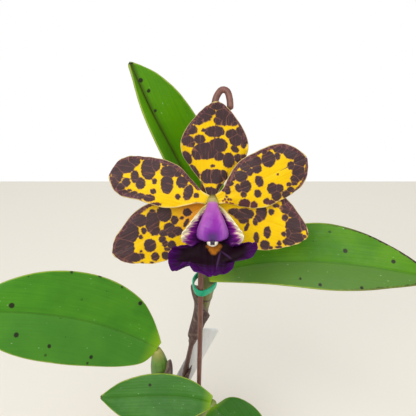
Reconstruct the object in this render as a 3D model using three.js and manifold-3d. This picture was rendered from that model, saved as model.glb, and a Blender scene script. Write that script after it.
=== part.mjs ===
// Potted cattleya orchid: one spotted bloom, five leathery leaves on three
// pseudobulbs, bark medium, clay pot, wire stake, ring clips and a plant label.
// Millimetres, +Z up. The origin is the centre of the pot's foot.

import * as THREE from 'three';
import { mergeVertices } from 'three/addons/utils/BufferGeometryUtils.js';
import Module from 'manifold-3d';

const wasm = await Module();
wasm.setup();

// Clearance between touching pieces, and the wider room round what stands in the bark
const gap = 0.3;
const bedRoom = 0.45;

const pot = {
  height: 85, footRadius: 31, rimRadius: 47.5, collarHeight: 16, collarStep: 2.6,
  wall: 4.5, floor: 6, edge: 1.5, cove: 2, sides: 36,
};
const drain = { radius: 4.5, ring: 17, count: 4, sides: 20 };

// The bark's top, and the ranges that each chip's size and tilt are drawn from
const medium = { top: 76, dome: 2.5, seed: 7, chips: 22, sunk: 0.6, clearOfWall: 6 };
const chip = { length: [10, 17], width: [7, 11], thickness: [4, 6], tilt: 0.7, shear: [0.2, 0.3, 0.1] };

const root = { radius: 1.7, taper: 0.6, rows: 6, sides: 6 };
const rhizome = { rows: 18, sides: 8 };
const caneSides = 10;

const leaf = { body: 1.8, margin: 0.8, rows: 16, columns: 6 };
const sheath = { thickness: 0.65, wrap: 2.75, taper: 0.55, point: 1.3, lift: 0.55, rows: 8, columns: 10 };

// The flower frame has x across, y up the bloom's face and z out of it
const bloom = { centre: [28, 6, 309.5], tilt: THREE.MathUtils.degToRad(64) };
const tepal = { body: 1.1, margin: 0.65, rows: 14, columns: 8 };
const pedicel = { rows: 16, sides: 10 };
const column = { rows: 12, sides: 14 };
const anther = { radii: [2.5, 1.9, 1.9], centre: [0, -16.7, 6.8], rings: 10, sides: 14 };

// The lip's throat curls round the column, opens, and flattens past the waist
const lip = {
  body: 1, margin: 0.65, rows: 28, columns: 12,
  throat: 7, mouth: 3.5, spread: 70, flareFrom: 8, flareOut: 0.45, flareDrop: 0.35,
  ruffle: 2, ruffleAlong: 18, ruffleAcross: 2.2,
};

const wire = { radius: 1.5, foot: 18, steps: 46, curveSegments: 4 };
const clip = { wall: 1.1, earLength: 6, earReach: 2.6, earSplay: 1.4, curveSegments: 7 };
const label = {
  width: 13, thickness: 0.8, foot: [-16, 31, 60], entry: [-9, 32.5, 80], head: [28, 38.5, 178.5],
  facing: [0.25, -1, 0],
};

const colours = {
  clay: 0xb5673f, bark: 0x5b3a26, rhizome: 0x7c7a45, pseudobulb: 0x7d8040, sheath: 0x67524f,
  leaf: 0x3f8f1a, petal: 0xf0d000, lip: 0x3a0a48, column: 0xb050b8, anther: 0xf2ecd8,
  stalk: 0x8a9a50, wire: 0x7b4f46, clip: 0x00b884, label: 0xeef0ee,
};

const vec = (p) => new THREE.Vector3(p[0], p[1], p[2]);
const flat = (p) => new THREE.Vector2(p[0], p[1]);
const mix = THREE.MathUtils.lerp;
const ease = THREE.MathUtils.smoothstep;
const { clamp } = THREE.MathUtils;

// Seeded draw, so that every build places the same chips
function draws(seed) {
  const factor = 16807;
  const modulus = 2147483647;
  let state = seed;
  return () => {
    state = (state * factor) % modulus;
    return state / modulus;
  };
}

function meshGeometry(vertices, triangles) {
  const geometry = new THREE.BufferGeometry();
  const positions = new Float32Array(vertices.flatMap((p) => [p.x, p.y, p.z]));
  geometry.setAttribute('position', new THREE.BufferAttribute(positions, 3));
  geometry.setIndex(triangles.flat());
  return geometry;
}

function toSolid(geometry) {
  const bare = geometry.clone();
  bare.deleteAttribute('normal');
  bare.deleteAttribute('uv');
  const welded = mergeVertices(bare, 1e-4);
  return new wasm.Manifold(new wasm.Mesh({
    numProp: 3,
    vertProperties: Float32Array.from(welded.attributes.position.array),
    triVerts: Uint32Array.from(welded.index.array),
  }));
}

function toGeometry(solid) {
  const mesh = solid.getMesh();
  const geometry = new THREE.BufferGeometry();
  geometry.setAttribute('position', new THREE.BufferAttribute(mesh.vertProperties, 3));
  geometry.setIndex(new THREE.BufferAttribute(mesh.triVerts, 1));
  return geometry;
}

// What is left of a piece after its neighbours are cut from it, without scraps
function cut(geometry, ...tools) {
  const left = tools.reduce((solid, tool) => solid.subtract(toSolid(tool)), toSolid(geometry));
  const bodies = left.decompose().sort((a, b) => b.volume() - a.volume());
  return toGeometry(bodies[0]);
}

// Two triangles for a quad, split along its shorter diagonal
function quadSplit(corners, a, b, c, d) {
  const split = corners[a].distanceTo(corners[c]) <= corners[b].distanceTo(corners[d]);
  return split ? [[0, 1, 2], [0, 2, 3]] : [[0, 1, 3], [1, 2, 3]];
}

// Closed thin solid on both sides of surface(u, v), with thickness(u, v).
// Both faces split each quad along the same diagonal.
function sheet(surface, { rows, columns }, thickness) {
  const step = 1e-3;
  const middle = [];
  const upper = [];
  const lower = [];
  for (let i = 0; i <= rows; i += 1) {
    for (let j = 0; j <= columns; j += 1) {
      const u = i / rows;
      const v = (2 * j) / columns - 1;
      const ua = Math.min(u, 1 - step);
      const va = Math.min(v, 1 - step);
      const along = surface(ua + step, va).sub(surface(ua, va));
      const across = surface(ua, va + step).sub(surface(ua, va));
      const normal = along.cross(across).normalize();
      const half = thickness(u, v) / 2;
      const point = surface(u, v);
      middle.push(point);
      upper.push(point.clone().addScaledVector(normal, half));
      lower.push(point.clone().addScaledVector(normal, -half));
    }
  }
  const width = columns + 1;
  const count = middle.length;
  const triangles = [];
  const wall = (a, b) => triangles.push([a, a + count, b + count], [a, b + count, b]);
  for (let i = 0; i < rows; i += 1) {
    for (let j = 0; j < columns; j += 1) {
      const start = i * width + j;
      const corner = [start, start + width, start + width + 1, start + 1];
      for (const [a, b, c] of quadSplit(middle, ...corner)) {
        triangles.push([corner[a], corner[b], corner[c]]);
        triangles.push([corner[a] + count, corner[c] + count, corner[b] + count]);
      }
    }
  }
  for (let i = 0; i < rows; i += 1) {
    wall(i * width, (i + 1) * width);
    wall((i + 1) * width + columns, i * width + columns);
  }
  for (let j = 0; j < columns; j += 1) {
    wall(j + 1, j);
    wall(rows * width + j, rows * width + j + 1);
  }
  return meshGeometry([...upper, ...lower], triangles);
}

// Closed solid of oval rings along a curve. radii(t) gives the half widths
// across and along the facing direction, and swell grows the whole solid.
function stalk({ path, radii, rows, sides, facing, swell = 0 }) {
  const vertices = [];
  const triangles = [];
  const forward = vec(facing);
  for (let i = 0; i <= rows; i += 1) {
    const t = i / rows;
    const tangent = path.getTangentAt(t);
    const centre = path.getPointAt(t).addScaledVector(tangent, swell * ((i === rows) - (i === 0)));
    const ahead = forward.clone().addScaledVector(tangent, -forward.dot(tangent)).normalize();
    const across = tangent.clone().cross(ahead);
    const [wide, deep] = radii(t).map((radius) => radius + swell);
    for (let k = 0; k < sides; k += 1) {
      const angle = (2 * Math.PI * k) / sides;
      const point = centre.clone().addScaledVector(across, wide * Math.cos(angle));
      vertices.push(point.addScaledVector(ahead, deep * Math.sin(angle)));
    }
  }
  for (let i = 0; i < rows; i += 1) {
    for (let k = 0; k < sides; k += 1) {
      const next = (k + 1) % sides;
      const a = i * sides + k;
      const b = i * sides + next;
      triangles.push([a, a + sides, b + sides], [a, b + sides, b]);
    }
  }
  const end = (t, out) => path.getPointAt(t).addScaledVector(path.getTangentAt(t), out);
  const foot = vertices.push(end(0, -swell)) - 1;
  const head = vertices.push(end(1, swell)) - 1;
  for (let k = 0; k < sides; k += 1) {
    const next = (k + 1) % sides;
    triangles.push([foot, k, next], [head, rows * sides + next, rows * sides + k]);
  }
  return meshGeometry(vertices, triangles);
}

// Radii read from [distance share, half width, half depth] stations
function profile(stations) {
  const curve = new THREE.CatmullRomCurve3(stations.map(vec), false, 'catmullrom', 0.5);
  const halvings = 24;
  return (t) => {
    let low = 0;
    let high = 1;
    for (let n = 0; n < halvings; n += 1) {
      const middle = (low + high) / 2;
      if (curve.getPoint(middle).x < t) low = middle;
      else high = middle;
    }
    const found = curve.getPoint((low + high) / 2);
    return [found.y, found.z];
  };
}

const smooth = (points) => new THREE.CatmullRomCurve3(points.map(vec));
const bezier = (points) => new THREE.CubicBezierCurve3(...points.map(vec));
const outlineCurve = (points) => new THREE.SplineCurve(points.map(flat));

// Blade: a flat outline of [distance along the rib, half width] points on each
// side, laid along a rib. fold lifts both halves from the rib, cup arches them,
// wave ruffles the margin, roll turns the blade about its rib, and twist is
// what its first half turns back.
function bladeSurface({ rib, left, right, face, fold = 0, cup = 0, wave, waves, roll = 0, twist = 0 }) {
  const keel = 1.5;
  const ruffleSkew = 1.2;
  const curve = bezier(rib);
  const length = curve.getLength();
  const stretch = length / left.at(-1)[0];
  const sides = [outlineCurve(left), outlineCurve(right)];
  const slope = Math.tan(THREE.MathUtils.degToRad(fold));
  const facing = vec(face);
  return (u, v) => {
    const edges = sides.map((side) => side.getPoint(u));
    const edge = edges[v > 0 ? 1 : 0];
    const middle = ((edges[0].x + edges[1].x) / 2) * stretch;
    const along = clamp(mix(middle, edge.x * stretch, Math.abs(v)), 0, length);
    const width = edge.y * v;
    const tangent = curve.getTangentAt(along / length);
    const normal = facing.clone().addScaledVector(tangent, -facing.dot(tangent)).normalize();
    const turn = roll + twist * (1 - ease(along / length, 0, 0.5));
    normal.applyAxisAngle(tangent, THREE.MathUtils.degToRad(turn));
    const side = tangent.clone().cross(normal);
    const lift = slope * (Math.hypot(width, keel) - keel) - cup * v * v * Math.sin(Math.PI * u);
    const ruffle = wave * Math.abs(v) ** 3 * Math.sin(2 * Math.PI * waves * u + ruffleSkew * v);
    return curve.getPointAt(along / length)
      .addScaledVector(side, width)
      .addScaledVector(normal, lift + ruffle);
  };
}

// Thickness that falls from the body in the middle to the margin
const thinning = ({ body, margin }) => (u, v) => mix(body, margin, v * v);

function turned(points, segments) {
  return new THREE.LatheGeometry(points.map(flat), segments).rotateX(Math.PI / 2);
}

const plant = new THREE.Group();
const flower = new THREE.Group();
flower.position.set(...bloom.centre);
flower.rotation.x = bloom.tilt;
plant.add(flower);

function piece(parent, name, geometry, color, roughness = 0.6) {
  const shaded = geometry.index ? geometry.clone() : mergeVertices(geometry);
  shaded.deleteAttribute('uv');
  shaded.computeVertexNormals();
  const material = new THREE.MeshStandardMaterial({ color, roughness, metalness: 0 });
  const mesh = new THREE.Mesh(shaded, material);
  mesh.name = name;
  parent.add(mesh);
}

// Pot: an unglazed clay pot with a collar and a ring of drain holes
function potRadiusAt(z) {
  return mix(pot.footRadius, pot.rimRadius - pot.collarStep, z / pot.height);
}

function potGeometry() {
  const collarBase = pot.height - pot.collarHeight;
  const innerAt = (z) => potRadiusAt(z) - pot.wall;
  const body = turned([
    [0, 0], [pot.footRadius - pot.edge, 0], [pot.footRadius, pot.edge],
    [potRadiusAt(collarBase), collarBase], [pot.rimRadius - 0.8, collarBase + 0.6],
    [pot.rimRadius, collarBase + pot.cove], [pot.rimRadius, pot.height - pot.edge],
    [pot.rimRadius - pot.edge, pot.height], [pot.rimRadius - pot.wall + 1, pot.height],
    [innerAt(pot.height), pot.height - pot.cove], [innerAt(pot.floor), pot.floor + pot.cove],
    [innerAt(pot.floor) - pot.cove, pot.floor], [0, pot.floor],
  ], pot.sides);
  const drains = Array.from({ length: drain.count }, (_, k) => {
    const angle = (2 * Math.PI * (k + 0.5)) / drain.count;
    return new THREE.CylinderGeometry(drain.radius, drain.radius, 4 * pot.floor, drain.sides)
      .rotateX(Math.PI / 2)
      .translate(drain.ring * Math.cos(angle), drain.ring * Math.sin(angle), 0);
  });
  return cut(body, ...drains);
}

// Rhizome: the creeping stem over the bark, with thick roots that dive into it
const rhizomePath = smooth([
  [6, 34, 79.5], [3, 27, 80], [-6, 18, 78.5], [-8, 8, 79], [5, -4, 78], [18, -9, 79], [28, -14, 79.5],
]);
const rhizomeStations = [
  [0, 2.5, 2.5], [0.06, 4.2, 4.2], [0.3, 4.6, 4.4], [0.6, 4.8, 4.5], [0.9, 4.4, 4.2], [1, 1.8, 1.8],
];
const rootRoutes = [
  [[0, 24, 79], [14, 20, 82.5], [25, 10, 79], [30, 4, 66]],
  [[-6, 16, 78.5], [-15, 18, 82.5], [-23, 20, 79], [-26, 22, 64]],
  [[-8, 6, 79], [-20, 1, 82.5], [-29, -6, 79], [-32, -11, 64]],
  [[2, -2, 78], [-6, -14, 82], [-14, -23, 79], [-18, -28, 64]],
  [[16, -8, 79], [16, -19, 82.5], [11, -28, 79], [6, -33, 64]],
  [[23, -11, 79], [31, -6, 82.5], [34, 4, 79], [33, 12, 66]],
];
const rootRadii = (t) => [root.radius - root.taper * t, root.radius - root.taper * t];

function rhizomeGeometry(swell) {
  const stem = toSolid(stalk({
    ...rhizome, path: rhizomePath, radii: profile(rhizomeStations), facing: [0, 0, 1], swell,
  }));
  const whole = rootRoutes.reduce((solid, route) => solid.add(toSolid(stalk({
    rows: root.rows, sides: root.sides, path: bezier(route), radii: rootRadii, facing: [0.3, 0.2, 1], swell,
  }))), stem);
  return toGeometry(whole);
}

// Pseudobulbs: slender canes that rise from the rhizome to their leaves
const canes = {
  flowering: {
    path: smooth([
      [3, 27, 84], [7.5, 28.5, 125], [12, 29.5, 155], [16.5, 29.5, 182], [22, 27, 210], [25, 23.5, 232],
      [25, 22, 249],
    ]),
    stations: [
      [0, 4.6, 4.6], [0.06, 5, 5], [0.16, 3.4, 3.4], [0.3, 2.3, 2.3], [0.52, 2.1, 2.1],
      [0.58, 2.8, 2.8], [0.68, 3, 3], [0.78, 3.6, 3.6], [0.86, 3.6, 3.6], [0.95, 4.7, 4.7], [1, 3.2, 3.2],
    ],
    rows: 22,
  },
  left: {
    path: smooth([
      [-8, 8, 83], [-6.5, 10, 120], [-4.5, 11.5, 158], [-4.5, 11.5, 178], [-5, 12, 192],
    ]),
    stations: [
      [0, 4.6, 4.6], [0.08, 5.4, 5.4], [0.3, 5, 5], [0.6, 5.6, 5.4], [0.82, 5.8, 5.4], [0.94, 4.2, 4],
      [1, 2.4, 2.4],
    ],
    rows: 14,
  },
  front: {
    path: smooth([[18, -9, 83], [20, -10, 110], [24, -11.5, 145], [28.5, -13, 175]]),
    stations: [
      [0, 4.6, 4.6], [0.08, 5.4, 5.4], [0.3, 5.2, 5.2], [0.6, 5.8, 5.8], [0.88, 4.8, 4.8], [1, 2.6, 2.6],
    ],
    rows: 12,
  },
};

const caneGeometry = ({ path, stations, rows }, swell = 0) => stalk({
  path, radii: profile(stations), rows, sides: caneSides, facing: [0, -1, 0.2], swell,
});

// Leaves: outlines hold [distance along the rib, half width] on each side
const leaves = {
  leaf_upper: {
    bearer: 'flowering',
    rib: [[25, 25.5, 250], [31, 35, 285], [4, 37, 318], [-8.5, 42, 360]],
    left: [
      [0, 4], [10, 6], [30, 9], [50, 12.2], [70, 12], [90, 8.6], [104, 4.4], [111, 2], [114, 0.8],
    ],
    right: [
      [0, 4], [10, 6], [30, 11], [50, 15.4], [70, 17], [90, 14.5], [104, 9.5], [111, 4.6], [114, 0.8],
    ],
    face: [0.83, -0.56, 0], fold: 33, cup: 0.6, wave: 0.4, twist: -47,
  },
  leaf_right: {
    bearer: 'flowering',
    rib: [[26, 19, 250], [64, 24, 263], [103, 11, 267], [139, -3, 269]],
    left: [
      [0, 4], [10, 7.5], [26, 13.5], [44, 18.5], [62, 20], [80, 17], [95, 11.5], [108, 5.5], [118, 0.8],
    ],
    right: [
      [0, 4], [10, 7], [26, 10.5], [46, 13.5], [66, 14.5], [84, 12.5], [98, 8.5], [109, 4.5], [118, 0.8],
    ],
    face: [0, -0.55, 0.83], fold: 13, cup: 0.8, wave: 0.5,
  },
  leaf_left: {
    bearer: 'left',
    rib: [[-5, 12.5, 193], [-35, 16, 217], [-63, 5, 238], [-97, -3, 245]],
    left: [
      [0, 4], [3, 11], [11, 17], [22, 21.5], [40, 24.5], [58, 25.5], [76, 24], [92, 18.5], [102, 9.5],
      [106, 0.8],
    ],
    right: [
      [0, 4], [6, 9.5], [14, 16], [24, 22], [40, 26], [58, 26], [76, 22.5], [92, 15.5], [102, 8],
      [106, 0.8],
    ],
    face: [0, -0.73, 0.68], fold: 6, cup: 1.2, wave: 0.6,
  },
  leaf_front_left: {
    bearer: 'front',
    rib: [[28, -13, 176], [6, -7, 178], [-17, -9, 173], [-39, -7, 171]],
    left: [[0, 3.5], [4, 7], [12, 12], [24, 15.5], [38, 15.5], [52, 11.5], [60, 6.5], [67, 0.8]],
    right: [[0, 3.5], [5, 6], [14, 10], [26, 12.5], [40, 12.2], [53, 9.2], [61, 5.2], [67, 0.8]],
    face: [0, -0.6, 0.8], fold: 8, cup: 0.8, wave: 0.4,
  },
  leaf_front_right: {
    bearer: 'front',
    rib: [[29.6, -15.4, 175], [38, -31, 190], [44, -52, 199], [46, -74, 196]],
    left: [[0, 2.4], [3, 9], [9, 14], [19, 17], [31, 17.5], [44, 14], [55, 8], [61, 4], [64, 0.8]],
    right: [[0, 2.4], [5, 8], [14, 12], [24, 15], [36, 15.5], [48, 12], [57, 7], [62, 3.5], [64, 0.8]],
    face: [0.1, -0.35, 0.93], fold: 10, cup: 0.8, wave: 0.4,
  },
};

// Ovary stalk: rises from the flowering cane and turns forward into the bloom
const pedicelPath = smooth([
  [25.5, 22.5, 250.5], [26, 23.5, 262], [26, 24.5, 278], [27, 24, 292], [27.8, 18, 302.5], [28, 12, 306.4],
  [28, 6.6, 309],
]);
const pedicelStations = [[0, 1.9, 1.9], [0.2, 1.8, 1.8], [0.5, 2.1, 2.1], [0.8, 2.7, 2.7], [1, 2.5, 2.5]];
const pedicelGeometry = (swell = 0) => stalk({
  ...pedicel, path: pedicelPath, radii: profile(pedicelStations), facing: [0, -1, 0], swell,
});

// Tepals in the flower frame: ribs run from the hub, margins as for the leaves
const dorsalOutline = [
  [0, 2.2], [5, 4.4], [12, 10], [18, 14.3], [24, 15.2], [30, 13], [36, 8.8], [40.5, 4.8], [43, 1.2],
];
const leftSepalOutline = [
  [0, 2.2], [6, 5.8], [14, 10.8], [21, 13.6], [28, 14], [34, 12.6], [39.5, 9.8], [45, 6.4], [48.5, 1.2],
];
const rightSepalOutline = [
  [0, 2.2], [5, 5.8], [12, 11], [18, 14.3], [24.5, 14.5], [31, 11.9], [36, 8.3], [40.5, 4.7], [43, 1.2],
];
const petalOutline = [
  [0, 2], [4, 3.5], [10, 8.2], [17, 11.7], [25, 12.4], [32, 12.2], [38, 10.4], [42.5, 6.4], [45, 1.2],
];
const leftPetalUpper = [
  [0, 2], [4, 3], [10, 7], [17, 11], [25, 12.2], [32, 12], [38, 10.6], [42.5, 7], [45, 1.2],
];
const leftPetalLower = [
  [0, 2], [4, 3.2], [10, 6.5], [17, 9], [25, 9.2], [32, 8.6], [38, 8], [42.5, 5.6], [45, 1.2],
];
const tepals = {
  dorsal_sepal: {
    rib: [[0, 2.4, -5.5], [0.3, 15, -5.8], [1.2, 30, -4.5], [1.9, 44.4, -1.5]],
    left: dorsalOutline, right: dorsalOutline, cup: 2.2, wave: 0.3,
  },
  petal_left: {
    rib: [[-2.2, 0.8, -3], [-14, 6, -3], [-31, 10, -2], [-46, 12, -1]],
    left: leftPetalLower, right: leftPetalUpper, cup: 1, wave: 0.8, roll: 25,
  },
  petal_right: {
    rib: [[2.2, 1.2, -3], [14, 5.5, -3], [28, 13, -2], [41.5, 20.3, -1]],
    left: petalOutline, right: petalOutline, cup: 1, wave: 0.8,
  },
  sepal_left: {
    rib: [[-2, -1.2, -5.5], [-17, -11, -7.5], [-31, -19.5, -6], [-46.5, -25, -4]],
    left: leftSepalOutline, right: leftSepalOutline, cup: 1.2, wave: 0.4,
  },
  sepal_right: {
    rib: [[2, -1, -5.5], [16, -7, -7.5], [30, -12, -6], [44.3, -16.3, -4]],
    left: rightSepalOutline, right: rightSepalOutline, cup: 1.2, wave: 0.4,
  },
};

// Lip: side lobes curl forward round the column, a waist follows, and the
// broad front lobe spreads below it with a ruffled margin
const lipRib = [[0, -1, -1.6], [0, -13.5, -3], [0, -20.5, 2], [0, -29.5, 13]];
const lipSideLobe = [[0, 2.5], [3, 8], [7, 12.5], [12, 15], [16, 14.5], [18.8, 11.5], [19.8, 9]];
const lipLeft = [
  ...lipSideLobe, [20, 12], [20.5, 16], [23, 19.2], [28, 19.4], [31.5, 15.8], [32.8, 10.5], [34, 5.5],
  [34.6, 1],
];
const lipRight = [
  ...lipSideLobe, [19, 12], [17.6, 16.2], [18.5, 19.3], [21.5, 19.6], [23.5, 15.5], [25.5, 10.5],
  [31.5, 6.6], [34.6, 1],
];

function lipSurface() {
  const rib = bezier(lipRib);
  const length = rib.getLength();
  const edges = [outlineCurve(lipLeft), outlineCurve(lipRight)];
  return (u, v) => {
    const edge = edges[v > 0 ? 1 : 0].getPoint(u);
    const along = clamp(mix(length * u, edge.x, Math.abs(v) ** 1.5), 0, length);
    const width = edge.y * v;
    const tangent = rib.getTangentAt(along / length);
    const normal = new THREE.Vector3(0, tangent.z, -tangent.y);
    const curl = lip.throat + lip.mouth * ease(u, 0.1, 0.32) + lip.spread * ease(u, 0.4, 0.6);
    const flare = Math.max(0, Math.abs(width) - lip.flareFrom) * (1 - ease(u, 0.38, 0.46));
    const across = curl * Math.sin(width / curl) + Math.sign(v) * lip.flareOut * flare;
    const ripple = Math.sin(lip.ruffleAlong * u + lip.ruffleAcross * v);
    const ruffle = lip.ruffle * ease(u, 0.5, 0.7) * Math.abs(v) ** 1.5 * ripple;
    const height = curl * (1 - Math.cos(width / curl)) - lip.flareDrop * flare + ruffle;
    return rib.getPointAt(along / length)
      .add(new THREE.Vector3(across, 0, 0))
      .addScaledVector(normal, height);
  };
}

// Column: a broad winged club over the lip's throat, with the anther cap at its tip
const columnPath = smooth([[0, 0.4, 0.8], [0, -5.6, 4.2], [0, -11, 6], [0, -15.9, 6.5]]);
const columnStations = [
  [0, 2.1, 1.4], [0.25, 3.6, 2.4], [0.5, 5.5, 2.9], [0.75, 7, 3.1], [0.92, 6.6, 2.8], [1, 4, 1.8],
];
const columnGeometry = (swell = 0) => stalk({
  ...column, path: columnPath, radii: profile(columnStations), facing: [0, 0, 1], swell,
});
const antherGeometry = () => new THREE.SphereGeometry(1, anther.sides, anther.rings)
  .scale(...anther.radii)
  .translate(...anther.centre);

// The stalk's end is the bloom's hub, and all round it is cut clear of it
function hubGeometry() {
  flower.updateMatrixWorld(true);
  return pedicelGeometry(gap).applyMatrix4(flower.matrixWorld.clone().invert());
}

// Stake: a coated wire beside the flowering cane, hooked over behind the bloom
const wirePath = (foot) => smooth([
  [14.5, 17, foot], [18, 19, 80], [20.5, 17.5, 172], [21.5, 14, 215], [22, 13.6, 245], [22.4, 15.2, 276],
  [24, 20.5, 310], [28.7, 31.2, 344], [30, 34, 348.2], [32.3, 36, 350.2], [34.4, 35.6, 349.8],
  [35.6, 32.8, 347.4], [35.9, 28.8, 343.8],
]);

function wireGeometry(swell) {
  const ring = new THREE.Shape();
  ring.absarc(0, 0, wire.radius + swell, 0, 2 * Math.PI, false);
  const { steps, curveSegments } = wire;
  const extrudePath = wirePath(wire.foot - swell);
  return new THREE.ExtrudeGeometry(ring, { steps, curveSegments, bevelEnabled: false, extrudePath });
}

// Sheaths: papery bracts wrapped round a cane, open on one side and pointed
// on the other, where the tip stands away
const sheaths = {
  sheath_flowering_upper: {
    cane: canes.flowering, from: 0.56, to: 0.93, away: 0.3, stand: 3.2, toward: [-1, -0.1, 0],
  },
  sheath_flowering_lower: {
    cane: canes.flowering, from: 0.08, to: 0.42, away: 0.2, stand: 0.8, toward: [1, -0.4, 0],
  },
  sheath_left: { cane: canes.left, from: 0.4, to: 0.93, away: 0.2, stand: 1.2, toward: [1, -0.3, 0] },
  sheath_front: { cane: canes.front, from: 0.2, to: 0.8, away: 0.2, stand: 1, toward: [0.6, -1, 0] },
};

function sheathSurface({ cane, from, to, away, stand, toward }) {
  const radius = profile(cane.stations);
  const forward = vec(toward).normalize();
  const clear = 2 * gap + sheath.thickness / 2;
  return (u, v) => {
    const angle = v * sheath.wrap;
    const reach = mix(to, from, sheath.taper * Math.abs(v) ** sheath.point);
    const t = mix(from, reach, u);
    const centre = cane.path.getPointAt(t);
    const tangent = cane.path.getTangentAt(t);
    const ahead = forward.clone().addScaledVector(tangent, -forward.dot(tangent)).normalize();
    const side = tangent.clone().cross(ahead);
    const tip = stand * ease(u, sheath.lift, 1) * Math.cos(angle / 2);
    const off = Math.max(...radius(t)) + clear + tip + away * u;
    return centre
      .addScaledVector(ahead, off * Math.cos(angle))
      .addScaledVector(side, off * Math.sin(angle));
  };
}

// Plant label: a blank strip with a pointed foot, pushed into the bark and leaning
function labelGeometry(swell) {
  const length = vec(label.foot).distanceTo(vec(label.head));
  const point = vec(label.foot).distanceTo(vec(label.entry));
  const half = label.width / 2 + swell;
  const depth = label.thickness + 2 * swell;
  const outline = new THREE.Shape([
    [0, -swell], [half, point], [half, length + swell], [-half, length + swell], [-half, point],
  ].map(flat));
  const strip = new THREE.ExtrudeGeometry(outline, { depth, bevelEnabled: false });
  const up = vec(label.head).sub(vec(label.foot)).normalize();
  const out = vec(label.facing);
  out.addScaledVector(up, -out.dot(up)).normalize();
  const frame = new THREE.Matrix4().makeBasis(up.clone().cross(out), up, out);
  return strip.translate(0, 0, -depth / 2).applyMatrix4(frame).translate(...label.foot);
}

// Bark medium: a plug that fills the pot, topped with chips thrown down by a
// seeded rule and fused to it, with plain holes for what stands in it
function chipGeometry(draw) {
  const angle = draw() * 2 * Math.PI;
  const reach = Math.sqrt(draw()) * (potRadiusAt(medium.top) - pot.wall - medium.clearOfWall);
  const size = [chip.length, chip.width, chip.thickness].map(([low, high]) => mix(low, high, draw()));
  const [shearA, shearB, shearC] = chip.shear;
  const shear = new THREE.Matrix4().makeShear(shearA * draw(), 0, shearB * draw(), 0, shearC, 0);
  const lean = () => (draw() - 0.5) * chip.tilt;
  const dome = medium.dome * (1 - (reach / potRadiusAt(medium.top)) ** 2);
  return new THREE.BoxGeometry(...size)
    .applyMatrix4(shear)
    .rotateX(lean())
    .rotateY(lean())
    .rotateZ(draw() * Math.PI)
    .translate(reach * Math.cos(angle), reach * Math.sin(angle), medium.top + dome - medium.sunk);
}

function mediumGeometry() {
  const innerAt = (z) => potRadiusAt(z) - pot.wall - gap;
  const plug = turned([
    [0, pot.floor + gap], [innerAt(pot.floor) - 2.2, pot.floor + gap],
    [innerAt(pot.floor), pot.floor + 2.2], [innerAt(medium.top - 2), medium.top - 2],
    [0.55 * innerAt(medium.top), medium.top + 0.6 * medium.dome], [0, medium.top + medium.dome],
  ], pot.sides);
  const aboveRim = pot.height + 8;
  const inside = turned([
    [0, pot.floor], [innerAt(pot.floor), pot.floor], [innerAt(pot.height), aboveRim], [0, aboveRim],
  ], pot.sides);
  const draw = draws(medium.seed);
  let whole = toSolid(plug);
  for (let n = 0; n < medium.chips; n += 1) {
    whole = whole.add(toSolid(chipGeometry(draw)));
  }
  const trimmed = toGeometry(whole.intersect(toSolid(inside)));
  const caneHoles = Object.values(canes).map((cane) => caneGeometry(cane, bedRoom));
  const holes = [rhizomeGeometry(bedRoom), ...caneHoles, wireGeometry(bedRoom), labelGeometry(bedRoom)];
  return cut(trimmed, ...holes);
}

// Ring clips: a band round the stake and a stem, with two grip ears turned to `ears` radians
const clips = {
  clip_lower: { stake: [22, 13.7, 243.5], stem: [25, 22.3, 243.5], stemRadius: 4.9, height: 4.2, ears: 2.4 },
  clip_upper: {
    stake: [22.4, 15.2, 275.5], stem: [26, 24.3, 275.5], stemRadius: 2.2, height: 3.4, ears: 2.2,
  },
};

// Outline round two circles, the large one at the origin and the small one on +X
function bandOutline(Path, large, small, apart) {
  const tangent = Math.acos((large - small) / apart);
  const outline = new Path();
  outline.absarc(0, 0, large, tangent, 2 * Math.PI - tangent, false);
  outline.absarc(apart, 0, small, -tangent, tangent, false);
  outline.closePath();
  return outline;
}

function clipGeometry({ stake, stem, stemRadius, height, ears }) {
  const apart = vec(stake).distanceTo(vec(stem));
  const inner = [stemRadius + gap, wire.radius + gap];
  const outer = inner.map((radius) => radius + clip.wall);
  const band = bandOutline(THREE.Shape, ...outer, apart);
  band.holes.push(bandOutline(THREE.Path, ...inner, apart));
  const { curveSegments } = clip;
  const ring = new THREE.ExtrudeGeometry(band, { depth: height, curveSegments, bevelEnabled: false });
  const earGeometry = (side) => new THREE.BoxGeometry(clip.earLength, clip.wall, height)
    .translate(outer[0] + clip.earReach, side * clip.earSplay, height / 2)
    .rotateZ(ears);
  const whole = [-1, 1].reduce((solid, side) => solid.add(toSolid(earGeometry(side))), toSolid(ring));
  const heading = Math.atan2(stake[1] - stem[1], stake[0] - stem[0]);
  return toGeometry(whole).rotateZ(heading).translate(stem[0], stem[1], stem[2] - height / 2);
}

// The bloom
const hub = hubGeometry();
for (const [name, shape] of Object.entries(tepals)) {
  const surface = bladeSurface({ face: [0, 0, 1], waves: 2.5, ...shape });
  piece(flower, name, cut(sheet(surface, tepal, thinning(tepal)), hub), colours.petal);
}
const lipSheet = sheet(lipSurface(), lip, thinning(lip));
piece(flower, 'lip', cut(lipSheet, hub, columnGeometry(gap)), colours.lip);
piece(flower, 'column', cut(columnGeometry(), hub), colours.column);
piece(flower, 'anther_cap', cut(antherGeometry(), columnGeometry(gap)), colours.anther);

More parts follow.
